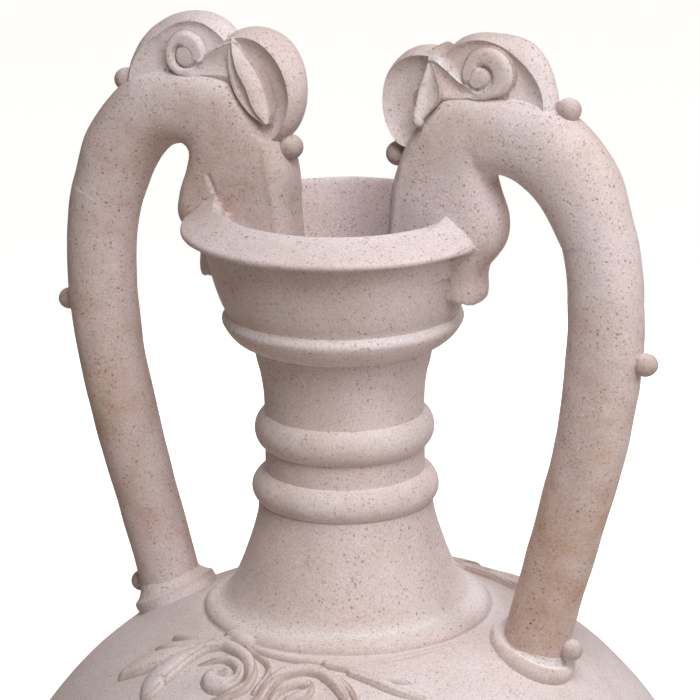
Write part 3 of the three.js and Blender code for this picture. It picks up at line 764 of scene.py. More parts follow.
def headGrid(side):
    # Loft between the back and the throat: superellipses across each pair of points.
    own = head[side]
    line = handleLine(side)
    along = unit(line[-1] - line[-2])
    out = np.array([along[1], -along[0]])
    outer, inner = handleRadius(side, 1)
    back = np.concatenate([[line[-1] + out * outer], fromLip(own["back"])])
    throat = np.concatenate([[line[-1] - out * inner], fromLip(own["throat"])])
    places = np.linspace(0, len(back) - 1, head["rows"])
    outer, inner = lineAt(back, places)[:, None], lineAt(throat, places)[:, None]
    table = np.stack([head["halfWidths"], head["backSquareness"], head["throatSquareness"]], 1)
    width, squareBack, squareThroat = lineAt(table, places).T[..., None]
    v = circle(head["columns"])
    power = 2 / np.where(np.cos(v) > 0, squareBack, squareThroat)
    y = width * signedPower(np.sin(v), power)
    flat = (outer + inner) / 2 + (outer - inner) / 2 * signedPower(np.cos(v), power)[..., None]
    # On the flanks: the cut of the mouth, a ridge, a crease, a flute and the full cheek.
    local = flat - (lipRadius, rimHeight)
    gape = np.minimum(under(local, own["inner"], own["apex"]), under(local, own["apex"], own["outer"]))
    gape = np.minimum(gape, local[..., 1] - head["gapeFloor"])
    flute, place = lineDistance(local, own["flute"])
    cheek = np.linalg.norm(local - np.array(head["cheek"]), axis=-1)
    carved = (-own["gapeDepth"] * smoothStep(gape, -0.4, 1)
              + own["ridgeRise"] * bell(lineDistance(local, own["ridge"])[0], 2.2)
              - own["creaseDepth"] * bell(lineDistance(local, own["crease"])[0], 0.7)
              - own["fluteDepth"] * bell(flute, 2.2) * np.sin(math.pi * np.clip(place, 0.1, 0.9))
              + head["cheekRise"] * bell(cheek, 8))
    return planeToSpace(side, flat, y + np.sign(y) * carved * smoothStep(abs(y) / width, 0.5, 0.92))


def headSlip(side, grid):
    # Chalk along the crests' joint, the crease and the edge of the mouth.
    own, local = head[side], aboutLip(grid)
    mouth = [own[key] for key in ("inner", "apex", "outer")]
    lines = {"seam": own["seam"], "crease": own["crease"], "mouth": mouth}
    return sum(chalked(key, lineDistance(local, line)[0]) for key, line in lines.items())


def makeHandles():
    for side in sides:
        tube = handWorked(tubeGrid(side), handle["unevenness"])
        addPiece(side + "handle", [tube], [side + "_handle"], "handles")
        grid = handWorked(headGrid(side), head["unevenness"])
        addPiece(side + "head", [grid], [side + "_dragon_head"], "handles", partial(headSlip, side))


makeHandles()
print("handles and heads made")


# Crests: a fin round a hub, with a low crown, two sharp ridges and dished sides

crests = {
    "rows": 150, "start": 2, "padRadius": 9.5, "unevenness": 0.14, "sharp": 30,
    "pad": {"left": 7.4, "right": 6.8},
    "rear": {"hub": (3.2, 51.2), "halfWidth": 7.3, "angles": (-50, 200)},
    "front": {"hub": (-27.5, 49.5), "halfWidth": 8.5, "angles": (-22, 336)},
    # Angle, ridge radius, crown radius and dish depth
    "leftrear": [(-50, 25.4, 28.4, 0), (-24, 26.4, 29.4, 0.2), (-14, 25.2, 28.2, 0.5), (-1, 23.8, 27, 0.9),
        (16, 22, 25.2, 1.4), (38, 19.8, 24.2, 2), (62, 19, 24, 2.6), (84, 21.6, 25.5, 3.2),
        (103, 24, 27.2, 3.2), (116, 25.6, 28.8, 2.8), (131, 26.2, 30.1, 1.8), (142, 26.8, 29.9, 1),
        (158, 26, 29, 0.5), (200, 25, 27, 0.4)],
    "rightrear": [(-50, 23, 26.4, 2.6), (-6, 23, 26.6, 2.8), (17, 22.7, 26, 3.2), (37, 22.1, 27.4, 3.6),
        (57, 22.2, 28.6, 3.8), (76, 23.6, 27.3, 3.8), (92, 25, 26.7, 3.6), (106, 25.9, 27.7, 3.6),
        (122, 26.4, 28.6, 3.4), (142, 25.4, 28, 3), (158, 24, 26, 3), (200, 23, 25, 3)],
    "leftfront": [(-20, 19.6, 20.4, 2), (46, 19.6, 20.6, 2), (60, 19.8, 21.4, 3), (76, 20, 22.6, 3.6),
        (103, 20.1, 24, 4), (126, 19.1, 25, 4.2), (147, 18.7, 24.8, 4.2), (168, 19.1, 24.2, 4.2),
        (188, 20.4, 24.4, 4), (207, 21.8, 25.6, 3.8), (224, 23.6, 27.2, 3.4), (240, 25.4, 27.8, 2.6),
        (275, 25, 27, 2), (300, 22, 24, 1), (336, 18, 20, 1)],
    "rightfront": [(-20, 19.6, 20.4, 2), (46, 19.6, 20.4, 2), (60, 19.8, 21.2, 3), (74, 19.5, 22.2, 3.6),
        (91, 19, 21.8, 3.8), (109, 18.6, 21, 3.8), (126, 17.8, 20, 3.8), (150, 17.2, 19, 3.8),
        (175, 16.4, 18.2, 3.8), (200, 17.2, 19, 3.6), (222, 19, 20.6, 3), (240, 20.8, 22.2, 2.4),
        (275, 20, 21, 2), (300, 18, 19, 1), (336, 15, 16, 1)],
}


def crestGrid(side, kind):
    # Section (rho, y): y = w - dish (1 - f^5) to the ridge, then crown rho = ridge + h (1 - (y/w)^2).
    own = crests[kind]
    table = np.array(crests[side + kind], float).T
    angles = np.linspace(*own["angles"], crests["rows"])
    ridge, crown, dish = (np.interp(angles, table[0], column) for column in table[1:])
    ridge, crown, dish = smoothed(ridge, 13)[:, None], smoothed(crown, 13)[:, None], dish[:, None]
    width = own["halfWidth"]
    f = 1 - np.linspace(1, 0, 26)**1.6
    sideRho = crests["start"] + (ridge - crests["start"]) * f
    sideY = width - dish * (1 - f**5)
    turn = np.radians(angles)[:, None]
    if kind == "rear":
        # Round the curl the side rises to a pad.
        flat = onCircle(sideRho, turn) + own["hub"]
        away = np.linalg.norm(flat - np.array(curls[side]["middle"]), axis=-1)
        pad = bell(np.maximum(away - crests["padRadius"], 0), 4.5) * (1 - f**4)
        sideY = sideY + np.maximum(crests["pad"][side] - sideY, 0) * pad
    across = np.linspace(1, -1, 33)[1:-1]
    crownRho = ridge + (crown - ridge) * (1 - across**2)
    rho = np.concatenate([sideRho, crownRho, sideRho[:, ::-1]], 1)
    y = np.concatenate([sideY, width * across + 0 * dish, -sideY[:, ::-1]], 1)
    return planeToSpace(side, fromLip(own["hub"]) + onCircle(rho, turn), y)


def crestSlip(side, grid):
    # Chalk along the crests' joint with the head, most of it at the lower end.
    local = aboutLip(grid)
    seam = np.array(head[side]["seam"])
    end = np.linalg.norm(local - seam[-1], axis=-1)
    return chalked("crestSeam", lineDistance(local, seam)[0]) + chalked("crestEnd", end)


# Curl: a ribbon that rolls up round a disc. Edges are radii for angles round the middle.

curls = {
    "face": 10, "groove": 2, "rows": 280, "end": 598, "sharp": 60,
    "skirt": [(1.05, 1.7), (1.5, 2), (1.62, 4.5)],
    "left": {
        "middle": (-0.9, 60.6), "bevel": 0.4, "closing": (395, 450),
        "ribbonInner": [(-25, 67.6), (-21.6, 67.6), (-15.8, 65), (-10.3, 61.6)],
        "ribbonOuter": [(-28, 48.4), (-24.4, 48.4), (-17.5, 49.6), (-10.9, 50.4)],
        "outer": [(240, 11.2), (275, 10.2), (304, 10.4), (337, 10.3), (369, 10), (403, 10.4), (431, 10.8),
            (460, 10.4), (490, 10.1), (516, 9.6), (545, 9), (566, 8.4), (598, 7)],
        "inner": [(187, 7.1), (215, 5.9), (244, 5.2), (304, 5.7), (344, 5.3), (383, 4.9), (428, 3.9),
            (470, 3.7), (566, 3.7), (598, 4.4)],
    },
    "right": {
        "middle": (0, 62.1), "bevel": 4, "closing": (440, 490),
        "ribbonInner": [(-23, 67.6), (-20.2, 67.2), (-15, 63.4), (-9.3, 59)],
        "ribbonOuter": [(-27, 46), (-22.6, 47.6), (-15.6, 49), (-9.2, 50.4)],
        "outer": [(240, 12), (275, 10.2), (300, 10.2), (326, 12.2), (355, 13.8), (376, 14.3), (399, 14.1),
            (423, 13.5), (447, 11.9), (481, 10.4), (513, 9.3), (545, 9), (566, 8.8), (598, 7.6)],
        "inner": [(201, 8.8), (232, 6.9), (274, 5.3), (312, 4.6), (354, 4), (391, 3.9), (434, 3.8),
            (481, 3.6), (566, 3.6), (598, 4.4)],
    },
}


def curlEdge(side, edge, angles):
    # The ribbon's points, then the coil's edge at the angles.
    own = curls[side]
    radius = np.interp(angles, *np.array(own[edge], float).T)
    coil = own["middle"] + onCircle(radius, np.radians(angles))
    return np.concatenate([own["ribbon" + edge.capitalize()], coil])


def curlGrid(side):
    # Strip from the inner edge (t = 0) to the outer edge (t = 1): face + 0.7 sin(pi t)^0.8, with a groove
    # at the inner edge and a rounded outer edge.
    own, face, end = curls[side], curls["face"], curls["end"]
    angles = np.linspace(own["inner"][1][0], end, 24)
    inner = curlEdge(side, "inner", angles)
    outer = curlEdge(side, "outer", np.linspace(own["outer"][0][0], end, 24))
    places = np.linspace(0, len(inner) - 1, curls["rows"])
    a, b = fromLip(lineAt(inner, places)), fromLip(lineAt(outer, places))
    rolled = smoothStep(places, 2.5, 6.5)[:, None]
    angles = np.concatenate([np.full(4, angles[0]), angles])
    turn = np.interp(places, np.arange(len(inner)), angles)[:, None]
    closing = smoothStep(turn, *own["closing"])
    t = np.linspace(0, 1, 30)
    ribbon = face - 0.3 - 1.7 * np.sin(math.pi * np.clip(t * 1.25, 0, 1))
    band = face + 0.7 * ((1 - closing) * np.sin(math.pi * t)**0.8 + closing * (1 - t**4))
    band = band - curls["groove"] * (1 - closing) * bell(t, 0.13)
    height = ribbon * (1 - rolled) + band * rolled
    height = height - 2.8 * bell(1 - t, 0.14) - 2.4 * smoothStep(turn, end - 45, end - 10)
    # A flange below the ribbon and the coil reaches into the head, so that no gap is left there.
    outwards = unit(b - a)
    flange = 4.5 * (1 - smoothStep(turn, 290, 330)) + 0.2
    bevel = own["bevel"] * (1 - rolled) + 0.1
    flat = a[:, None] * (1 - t[:, None]) + b[:, None] * t[:, None]
    flat = np.concatenate([(a - outwards * bevel)[:, None], flat, (b + outwards * flange)[:, None]], 1)
    height = np.concatenate([height[:, :1] - 0.7 * bevel, height, height[:, -1:] - 0.5], 1)
    flat = np.concatenate([flat, flat[:, ::-1]], 1)
    return planeToSpace(side, flat, np.concatenate([-height, height[:, ::-1]], 1))


def discGrid(side):
    # Low dome within the coil, with a groove round it and a skirt that runs on below the strip.
    own, face = curls[side], curls["face"]
    first, edgeThere = own["inner"][1]
    last = first + 360
    turn = circle(96)
    degrees = np.degrees(turn)
    degrees = np.where(degrees < first, degrees + 360, degrees)
    edge = np.interp(degrees, *np.array(own["inner"], float).T) + 0.25
    edge = edge + (edgeThere + 0.25 - edge) * smoothStep(degrees, last - 50, last)
    merged = smoothStep(degrees, *own["closing"]) * (1 - smoothStep(degrees, last - 25, last))
    rho = np.linspace(0.02, 1, 22)[:, None]
    dome = face + 0.6 * (1 - rho**2) + (0.7 * merged - 0.1 * (1 - merged)) * rho**2
    dome = dome - 0.9 * curls["groove"] * (1 - merged) * bell((1 - rho) * edge, 0.8)
    skirt = np.array(curls["skirt"])
    rho = np.concatenate([rho, skirt[:, :1]])
    dome = np.concatenate([dome, face - skirt[:, 1:] - 0 * edge])
    flat = fromLip(own["middle"] + onCircle(rho * edge, turn))
    return planeToSpace(side, np.concatenate([flat, flat[::-1]]), np.concatenate([-dome, dome[::-1]]))


def curlSlip(side, grid):
    # Chalk in the coil's groove.
    line = curlEdge(side, "inner", np.linspace(curls[side]["inner"][1][0], 320, 24))
    return chalked("groove", lineDistance(aboutLip(grid), line)[0])


# Ears: a leaf between two edges, with a fold that stands up like a roof

ears = {
    "rows": 70, "thickness": 5, "lobe": 2.3, "unevenness": 0.12, "sharp": 44,
    "left": {
        "outerEdge": [(-21.5, 69.1), (-20.8, 62.8), (-21.6, 56.3), (-23.9, 49.3), (-27.2, 44.5),
            (-32.6, 39.2), (-39.4, 35)],
        "fold": [(-22.3, 69.6), (-24, 63.4), (-26.7, 56.6), (-31.2, 49.9), (-33.6, 44.6), (-36.5, 39.9),
            (-40.2, 35.4)],
        "innerEdge": [(-23, 69.5), (-28, 63.2), (-33.2, 58.1), (-37.6, 51.9), (-40.2, 45.5), (-41.6, 39.7),
            (-41.1, 35.7)],
        "outerStand": [8.4, 9.6, 10.6, 11.8, 13, 14, 14.2],
        "foldStand": [8.8, 11.6, 13.2, 14.4, 15.2, 15.6, 14.6],
        "innerStand": [8.6, 8.8, 9.4, 10.4, 11.6, 12.8, 14],
        "outerBow": -1.6, "innerBow": 0.7,
    },
    "right": {
        "outerEdge": [(-22.2, 67.2), (-19.3, 61.4), (-17.2, 56.4), (-16.5, 53.2), (-18, 49.8), (-22.1, 45),
            (-24.5, 42.1)],
        "fold": [(-22.7, 67.2), (-22, 60.9), (-22.6, 55), (-22.7, 51.2), (-23.2, 47.9), (-24.6, 44.6),
            (-25.5, 42.6)],
        "innerEdge": [(-23.3, 66.4), (-24.3, 61), (-25.8, 55.7), (-26.4, 51.4), (-26.9, 48.1),
            (-27.1, 45.2), (-26, 42.6)],
        "outerStand": [8.8, 10.8, 12.4, 13.6, 14.4, 14.8, 15],
        "foldStand": [8.8, 9.6, 10.4, 11.4, 12.8, 14.2, 15],
        "innerStand": [8.8, 11, 12.4, 13.6, 14.6, 15.2, 15.2],
        "outerBow": -0.5, "innerBow": -0.5,
    },
}


def earGrid(side, face):
    # Section of two bowed facets between outer edge, fold and inner edge, and a back; from tip to root.
    own = ears[side]
    count = len(own["fold"])
    places = np.linspace(0, count - 1, ears["rows"])
    share = places / places[-1]
    edges = [fromLip(lineAt(own[key], places)) for key in ("outerEdge", "fold", "innerEdge")]
    stands = [np.interp(places, np.arange(count), own[key + "Stand"]) for key in ("outer", "fold", "inner")]
    t = np.linspace(0, 1, 15)[:, None]
    grow = np.minimum(1, 3 * share) * np.minimum(1, 4 * (1 - share) + 0.1)
    flats, ys = [], []
    for k, bow in enumerate((own["outerBow"], own["innerBow"])):
        flats.append(edges[k] + (edges[k + 1] - edges[k]) * t[..., None])
        ys.append(stands[k] + (stands[k + 1] - stands[k]) * t + bow * grow * np.sin(math.pi * t))
    deep = ears["thickness"]
    flat = np.concatenate([flats[0], flats[1][1:], flats[1][::-7], flats[0][::-7]])
    y = np.concatenate([ys[0], ys[1][1:], ys[1][::-7] - deep, ys[0][::-7] - deep])
    return planeToSpace(side, flat.transpose(1, 0, 2), (face * y).T)


def lobeGrid(side, face):
    # Small ball of slip that closes the ear's lower end.
    out, up = fromLip(ears[side]["innerEdge"][-1]) + (0.4, -0.2)
    return ballGrid([sides[side] * out, face * sides[side] * 14, up], ears["lobe"])


def earSlip(grid):
    # Chalk on the ears, more of it towards the lower end and on the right.
    low = smoothStep(rimHeight + 48 - grid[..., 2], 0, 8)
    return np.where(grid[..., 0] > 0, 0.2 + 0.3 * low, 0.12 * low)


# Pellets, foot rolls and beards

pellets = {
    "unevenness": 0.45,
    # Distance out, height and radius of each ball
    "left": {"foot": (100.6, 346.4, 4.9), "mid": (132, 472.6, 5), "nape": (100, 572.6, 5.4),
        "brow": (23.2, 549.8, 5.6)},
    "right": {"foot": (103.5, 345, 4.9), "mid": (135.5, 473.4, 5.1), "nape": (101.8, 576, 5.2),
        "brow": (26.6, 551.6, 5.2)},
}
roll = {
    "rows": 150, "shift": {"left": -1.4, "right": 1.2}, "seam": 15.4, "bottom": (12.4, -7),
    "unevenness": 0.35,
    "left": [(12.4, 11.5), (13.6, 8.6), (14.8, 6.4), (16.2, 4.8), (17.6, 3.9), (18.4, 3.2), (18.7, 1.8),
        (18.5, -0.6), (18.2, -3), (17.4, -7)],
    "right": [(12.6, 7.5), (13.7, 5.2), (14.5, 3.9), (15.4, 3.9), (16.8, 4.3), (18.3, 3.6), (19.3, 2),
        (19.5, 0), (19, -2), (17.6, -6)],
}
beard = {
    "rows": 60, "power": 2.7, "cracks": (-13.5, -6), "notch": -8.6, "unevenness": 0.2,
    # Height above the lip, outer reach from the lip's edge, inner reach and half-width
    "sections": [(-7, 3.4, -24, 12.6), (-13, 2, -24, 13), (-19, -1.8, -24, 12.8), (-24, -3.1, -24, 12.3),
        (-29, -2.9, -23, 11.8), (-32.6, -3.3, -21, 11.2), (-34.4, -4.4, -17, 9.8), (-35, -7, -13, 6)],
}


def ballGrid(center, radius):
    # Slightly flattened sphere.
    up = np.linspace(0.04, math.pi - 0.04, 30)[:, None]
    turn = circle(44)
    ball = np.concatenate([onCircle(np.sin(up), turn), (np.cos(up) + 0 * turn)[..., None]], -1)
    return center + ball * radius * np.array([1, 1.03, 0.96])


def makePellets(side):
    for key, (out, up, radius) in pellets[side].items():
        grid = handWorked(ballGrid([sides[side] * out, 0, up], radius), pellets["unevenness"])
        addPiece(side + key + "pellet", [grid], [f"{side}_{key}_pellet"], "applied")


def rollGrid(side):
    # Profile (r, h) turned round the shoulder's normal at the handle's foot.
    middle = handle["foot"][0] + roll["shift"][side]
    slope = math.atan2(shoulderHeight(middle - 3) - shoulderHeight(middle + 3), 6)
    line = np.concatenate([evenLine(roll[side], 0.45), [roll["bottom"]]])
    turn = circle(roll["rows"])
    r, h = line[:, :1], line[:, 1:2]
    x, y = r * np.cos(turn), r * np.sin(turn)
    out = x * math.cos(slope) + h * math.sin(slope)
    rise = -x * math.sin(slope) + h * math.cos(slope)
    return planeToSpace(side, np.stack([middle + out, shoulderHeight(middle) + rise], -1), y)


def rollSlip(side, grid):
    # Chalk where the handle meets its roll.
    distance = np.hypot(abs(grid[..., 0]) - (handle["foot"][0] + roll["shift"][side]), grid[..., 1])
    return chalked(side + "Roll", distance - roll["seam"])


def beardGrid(side):
    # Superellipse sections carried downwards; the bottom rises towards the cup, and cracks cut the flanks.
    places = np.linspace(0, len(beard["sections"]) - 1, beard["rows"])
    height, outer, inner, width = lineAt(beard["sections"], places).T[..., None]
    share = (places / places[-1])[:, None]
    turn = circle(180)
    across = signedPower(np.sin(turn), 2 / beard["power"])
    x = (outer + inner) / 2 + (outer - inner) / 2 * signedPower(np.cos(turn), 2 / beard["power"])
    x = x + 0.1 * np.cos(3 * math.pi * across) * smoothStep(share, 0.3, 0.7) * (np.cos(turn) > 0)
    flank = smoothStep(abs(across), 0.6, 0.9)
    notch = bell(x - beard["notch"], 1.1) * flank * smoothStep(share, 0.25, 0.5)
    cut = 0.35 * notch
    for crack in beard["cracks"]:
        cut = cut + 0.45 * bell(x - crack, 0.4) * flank * smoothStep(share, 0.3, 0.5)
    rise = 0.16 * np.maximum(-x - 5, 0) * smoothStep(share, 0.4, 1) + 0.5 * notch * share
    flat = fromLip(np.stack([x, height + rise], -1))
    return planeToSpace(side, flat, width * across - np.sign(across) * cut)


def makeTrim():
    for side in sides:
        for kind in ("rear", "front"):
            grid = handWorked(crestGrid(side, kind), crests["unevenness"])
            addPiece(f"{side}{kind}crest", [grid], [f"{side}_{kind}_crest"], "applied",
                     partial(crestSlip, side), sharp=crests["sharp"])
        grids = [curlGrid(side), discGrid(side)]
        addPiece(side + "curl", grids, [side + "_curl"], "applied", partial(curlSlip, side),
                 sharp=curls["sharp"])
        for ear, face in (("front", -sides[side]), ("back", sides[side])):
            grids = [handWorked(earGrid(side, face), ears["unevenness"])]
            if side == "right":
                grids.append(lobeGrid(side, face))
            addPiece(f"{side}ear{ear}", grids, [f"{side}_ear_{ear}"], "applied", earSlip,
                     sharp=ears["sharp"])
        makePellets(side)
        grid = handWorked(rollGrid(side), roll["unevenness"], wrap=True)
        addPiece(side + "footroll", [grid], [side + "_handle_foot_roll"], "applied",
                 partial(rollSlip, side), wrap=True)
        grid = handWorked(beardGrid(side), beard["unevenness"])
        addPiece(side + "beard", [grid], [side + "_beard"], "handles")


makeTrim()
print("crests, curls, ears, pellets, rolls and beards made")


# Scroll relief on the shoulder: strokes given by radius, angle, half-width and height

relief = {
    "rows": 470, "columns": 150, "from": (57, -144), "to": (106, -6), "sink": 0.6, "edge": 2.2,
    "roundness": 0.5, "widen": 1.3, "raise": 1.6,
    # outline: strength of the painted shade, with soil, beside the strokes
    "buried": 3, "thickness": 2.5, "unevenness": 0.12, "sharp": 60, "endSpan": 4, "outline": 0.5,
    "knob": (61.6, -111, 349.8), "knobHalf": (4.2, 9.6, 5),
    "strokes": {
        "frond1": [(77.8, -134, 1.2, 1.6), (74, -127.7, 1.7, 2.3), (70.4, -121.4, 1.6, 2.2),
            (66.6, -115.8, 1.5, 2), (63, -112.5, 1.4, 1.8)],
        "frond2": [(85.9, -134.3, 1, 1.4), (81.7, -130.8, 1.7, 2), (75.7, -125, 1.9, 1.9),
            (70.7, -119.6, 1.3, 1.6)],
        "frond3": [(100.4, -134.5, 2.5, 2.2), (95.5, -132.6, 3.9, 2.9), (89.9, -129.6, 4.1, 2.9),
            (83.4, -126.5, 3.1, 2.3), (77.2, -123, 1.7, 1.6)],
        "frond4": [(98.2, -120.8, 4.3, 2.8), (95.5, -121.6, 5, 3.4), (88.8, -121.3, 4.8, 3.3),
            (81.6, -120.3, 3.5, 2.8), (73.7, -117.4, 2.1, 2.6), (69, -113.2, 1.9, 2.4)],
        "main": [(73.7, -117.4, 1.8, 2.2), (69, -113.2, 2, 2.4), (69.5, -105.6, 2, 2.5),
            (72.8, -99.1, 2.1, 2.6), (78.5, -95.1, 2.1, 2.6), (85.1, -94, 1.9, 2.4),
            (89.6, -96.7, 1.6, 2.2), (95, -100.6, 1.1, 1.6), (99, -105, 0.7, 0.8)],
        "curl": [(81.6, -114, 0.5, 0.8), (77.4, -110.5, 1, 1.4), (75.1, -105.8, 1.5, 1.9),
            (76.8, -100.9, 1.8, 2.2), (81.6, -98.2, 2, 2.4), (86.2, -99.2, 2.5, 2.7),
            (88, -102.6, 2.9, 2.9), (86.6, -106.4, 2.6, 2.8), (83.4, -106.3, 1.8, 2.3),
            (81, -103.6, 1.2, 1.8)],
        "hemLine": [(64.7, -116, 1, 1.4), (63.6, -106.6, 1.2, 1.5), (65.8, -96, 1.2, 1.4),
            (67.2, -87.1, 1.1, 1.3), (68.4, -72.2, 1.2, 1.4), (73, -60.6, 1.2, 1.3)],
        "scroll2": [(97, -92, 1.2, 1.2), (90.1, -88.8, 1.7, 2), (83.1, -88, 1.9, 2.3), (77, -85.5, 2, 2.4),
            (73.7, -80.9, 2, 2.4), (73.2, -75.6, 2, 2.4), (75.7, -71.4, 2, 2.4), (81.5, -67.4, 2, 2.2),
            (88, -65.1, 1.7, 1.8), (97, -64, 1.2, 1)],
        "scroll2Inner": [(92.5, -85.6, 1.1, 1.3), (87.3, -85, 1.6, 1.9), (82.9, -83, 1.8, 2.1),
            (80.1, -79.3, 1.8, 2.1), (81.3, -75.9, 1.7, 2), (84.9, -75.8, 1.8, 2.1),
            (87.6, -78.4, 2.2, 2.3), (88.9, -81, 1.6, 1.6)],
        "stem": [(65.4, -104.8, 0.8, 1.2), (71.7, -92.6, 1.1, 1.5), (78.4, -89.8, 1.1, 1.6),
            (86.8, -91, 1, 1.3)],
        "sprigA": [(68.8, -72, 1.6, 1.8), (71.8, -62.6, 1.8, 2), (76.2, -55.5, 1.7, 1.9),
            (79.5, -48.7, 1.2, 1.3), (81.5, -44.8, 0.4, 0.2)],
        "sprigB": [(73.8, -64, 1.1, 1.3), (77.8, -57.8, 1.7, 1.9), (82.3, -52.8, 1.9, 2.1),
            (86.9, -47.5, 1.3, 1.4), (89.4, -42.1, 0.4, 0.2)],
        "scrollRight": [(73, -72.5, 0.8, 1.2), (78.6, -66.1, 1.1, 1.5), (84.9, -63, 1.1, 1.4),
            (91.8, -62, 0.7, 0.8)],
        "hemEdge": [(68.2, -60, 1.2, 0.5), (66.2, -45.2, 1.4, 0.7), (65.2, -31.2, 1.3, 0.6),
            (65.4, -14, 0.9, 0.3)],
    },
}


def strokeField(flat):
    # Greatest rounded section h (1 - (d/w)^edge)^roundness of the strokes, and the distance outside them.
    height = np.zeros(flat.shape[:2])
    outside = np.full(flat.shape[:2], np.inf)
    for stroke in relief["strokes"].values():
        radius, angle, width, rise = lineAt(stroke, np.linspace(0, len(stroke) - 1, 8 * len(stroke))).T
        path = onCircle(radius, np.radians(angle))
        gap, place = lineDistance(flat, path)
        run = runAlong(path)
        width = np.interp(place, run / run[-1], width) * relief["widen"]
        rise = np.interp(place, run / run[-1], rise)
        inside = np.clip(1 - (gap / width)**relief["edge"], 0, 1)
        height = np.maximum(height, rise * inside**relief["roundness"])
        outside = np.minimum(outside, gap - width)
    return height, outside


def reliefGrid(turnedBy):
    # Shoulder height + strokes, less a sunk ground; the ends dip into the shoulder.
    (r0, t0), (r1, t1) = relief["from"], relief["to"]
    r = np.linspace(r0, r1, relief["columns"])[None, :]
    degrees = np.linspace(t0, t1, relief["rows"])[:, None]
    theta = np.radians(degrees)
    height, _ = strokeField(onCircle(r, theta))
    ground = shoulderHeight(np.maximum(r, turned["seatRadius"])) + 0 * theta
    inset = np.minimum(degrees - t0, t1 - degrees)
    ends = smoothStep(inset, 0, relief["endSpan"]) * smoothStep(r, r0, r0 + 2)
    upper = ground - relief["sink"] + relief["raise"] * height * ends - relief["buried"] * (1 - ends)
    lower = ground - relief["buried"] - relief["thickness"]
    flat = onCircle(r, theta + math.radians(turnedBy))
    outer, inner = (np.concatenate([flat, up[..., None]], -1) for up in (upper, lower))
    return np.concatenate([outer, inner[:, ::-12]], 1)


def reliefShadeAndSoil(turnedBy, grid):
    # Painted shade with soil in the ground beside the strokes: a dark band that stands for the shade at
    # their feet.
    _, outside = strokeField(grid[..., :2] * math.cos(math.radians(turnedBy)))
    return relief["outline"] * bell(outside - 0.1, 0.7)


def knobGrid(turnedBy):
    # Flattened ball on the hem, where the fronds meet.
    radius, theta, up = relief["knob"]
    turn = math.radians(theta + turnedBy)
    out, aside, rise = np.moveaxis(ballGrid(np.zeros(3), 1) * relief["knobHalf"], -1, 0)
    x = (radius + out) * math.cos(turn) - aside * math.sin(turn)
    y = (radius + out) * math.sin(turn) + aside * math.cos(turn)
    return np.stack([x, y, up + rise], -1)


def makeRelief():
    for name, turnedBy in (("frontscroll", 0), ("backscroll", 180)):
        grid = handWorked(reliefGrid(turnedBy), relief["unevenness"])
        # The relief carries a painted shade beside its strokes.
        addPiece(name, [grid], [], "body", soil=partial(reliefShadeAndSoil, turnedBy), sharp=relief["sharp"])
        addPiece(name + "knob", [knobGrid(turnedBy)], [], "body")


makeRelief()
print("scroll relief made")


# Camera, light and floor

view = {
    "distance": 1.4981, "elevation": 16.63, "azimuth": 25.71, "roll": 0.89, "targetHeight": 0.4641,
    "focalPixels": 3559, "pictureWidth": 700, "middleX": 343.6, "sensor": 36, "clipEnd": 60,
}
lights = {
    "key": {"place": (0.64, -0.86, 1.87), "aim": (0, 0, 0.45), "size": 0.9, "power": 22.8},
    "front": {"place": (1.25, -1.08, 1.25), "aim": (0, 0, 0.45), "size": 0.7, "power": 4.6},
    "right": {"place": (1.46, 0.25, 1.30), "aim": (0, 0, 0.45), "size": 0.9, "power": 8.8},
    "rear": {"place": (-0.69, 1.43, 0.62), "aim": (0, 0, 0.36), "size": 1.1, "power": 10},
}
ambient = {"strength": 0.086, "color": (1.0, 0.76, 0.50)}
paperLook = {"color": (0.55, 0.50, 0.45), "glow": 0.88, "roughness": 0.9, "half": 8}


def standing(name, data, axes, place):
    # A camera or lamp from its axes right, up and back.
    matrix = Matrix.Identity(4)
    for k, column in enumerate((*axes, place)):
        for i in range(3):
            matrix[i][k] = column[i]
    thing = bpy.data.objects.new(name, data)
    thing.matrix_world = matrix
    scene.collection.objects.link(thing)
    return thing


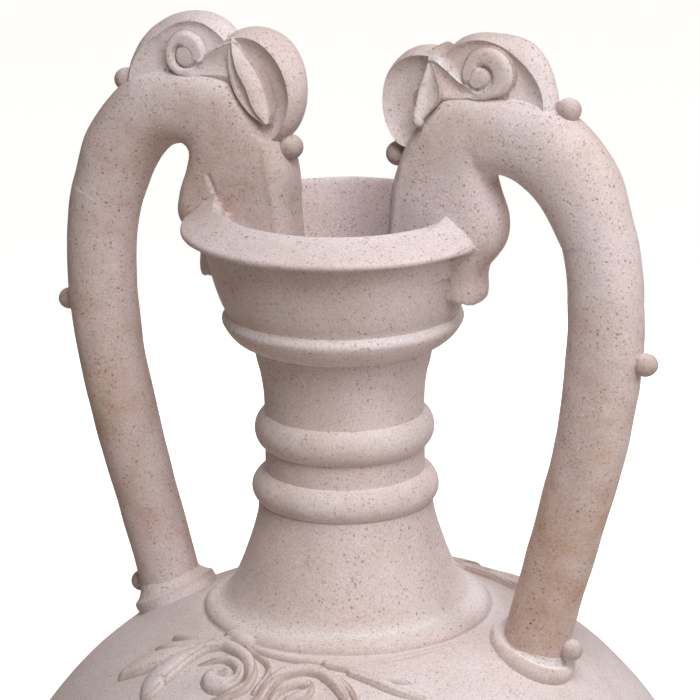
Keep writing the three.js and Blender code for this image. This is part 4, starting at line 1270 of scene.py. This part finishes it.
def makeCamera():
    data = bpy.data.cameras.new("camera")
    data.sensor_width = view["sensor"]
    data.lens = view["focalPixels"] / view["pictureWidth"] * view["sensor"]
    data.shift_x = (view["pictureWidth"] / 2 - view["middleX"]) / view["pictureWidth"]
    data.clip_end = view["clipEnd"]
    azimuth, elevation, tilt = (math.radians(view[key]) for key in ("azimuth", "elevation", "roll"))
    level = math.cos(elevation)
    back = np.array([math.sin(azimuth) * level, -math.cos(azimuth) * level, math.sin(elevation)])
    right = np.array([math.cos(azimuth), math.sin(azimuth), 0])
    up = np.cross(back, right)
    cos, sin = math.cos(tilt), math.sin(tilt)
    axes = (cos * right - sin * up, sin * right + cos * up, back)
    scene.camera = standing("camera", data, axes, (0, 0, view["targetHeight"]) + back * view["distance"])


def makeLights():
    for name, own in lights.items():
        data = bpy.data.lights.new(name, "AREA")
        data.energy = own["power"]
        data.size = own["size"]
        back = unit(np.subtract(own["place"], own["aim"]))
        right = unit(np.cross([0, 1, 0.01], back))
        standing(name, data, (right, np.cross(back, right), back), own["place"])


def seenDirectly(tree):
    # 1 for rays of the camera, of gloss and of transmission, otherwise 0.
    path = addNode(tree, "ShaderNodeLightPath")
    rays = [path.outputs[f"Is {kind} Ray"] for kind in ("Camera", "Glossy", "Transmission")]
    return compute(tree, "MAXIMUM", rays[0], compute(tree, "MAXIMUM", *rays[1:]))


def makeSky():
    # White where it is seen directly, and a soft warm light otherwise.
    world = bpy.data.worlds.new("studio")
    scene.world = world
    tree = emptied(world)
    white = addNode(tree, "ShaderNodeBackground", (1, 1, 1, 1))
    soft = addNode(tree, "ShaderNodeBackground", (*ambient["color"], 1), ambient["strength"])
    sky = addNode(tree, "ShaderNodeMixShader", seenDirectly(tree), soft.outputs[0], white.outputs[0])
    addNode(tree, "ShaderNodeOutputWorld", sky.outputs[0])


def makeFloor():
    half = paperLook["half"]
    mesh = bpy.data.meshes.new("floor")
    corners = [(-half, -half, 0), (half, -half, 0), (half, half, 0), (-half, half, 0)]
    mesh.from_pydata(corners, [], [(0, 1, 2, 3)])
    floor = bpy.data.objects.new("floor", mesh)
    scene.collection.objects.link(floor)
    material = bpy.data.materials.new("floorPaper")
    tree = emptied(material)
    paper = addNode(tree, "ShaderNodeBsdfPrincipled", Roughness=paperLook["roughness"])
    glow = compute(tree, "MULTIPLY", seenDirectly(tree), paperLook["glow"])
    for key, value in (("Base Color", (*paperLook["color"], 1)), ("Emission Color", (1, 1, 1, 1)),
                       ("Emission Strength", glow)):
        setInput(paper.inputs[key], value)
    addNode(tree, "ShaderNodeOutputMaterial", paper.outputs[0])
    mesh.materials.append(material)


makeCamera()
makeLights()
makeSky()
makeFloor()
bpy.context.scene.view_settings.view_transform = "Standard"
print("camera, lights and floor made")
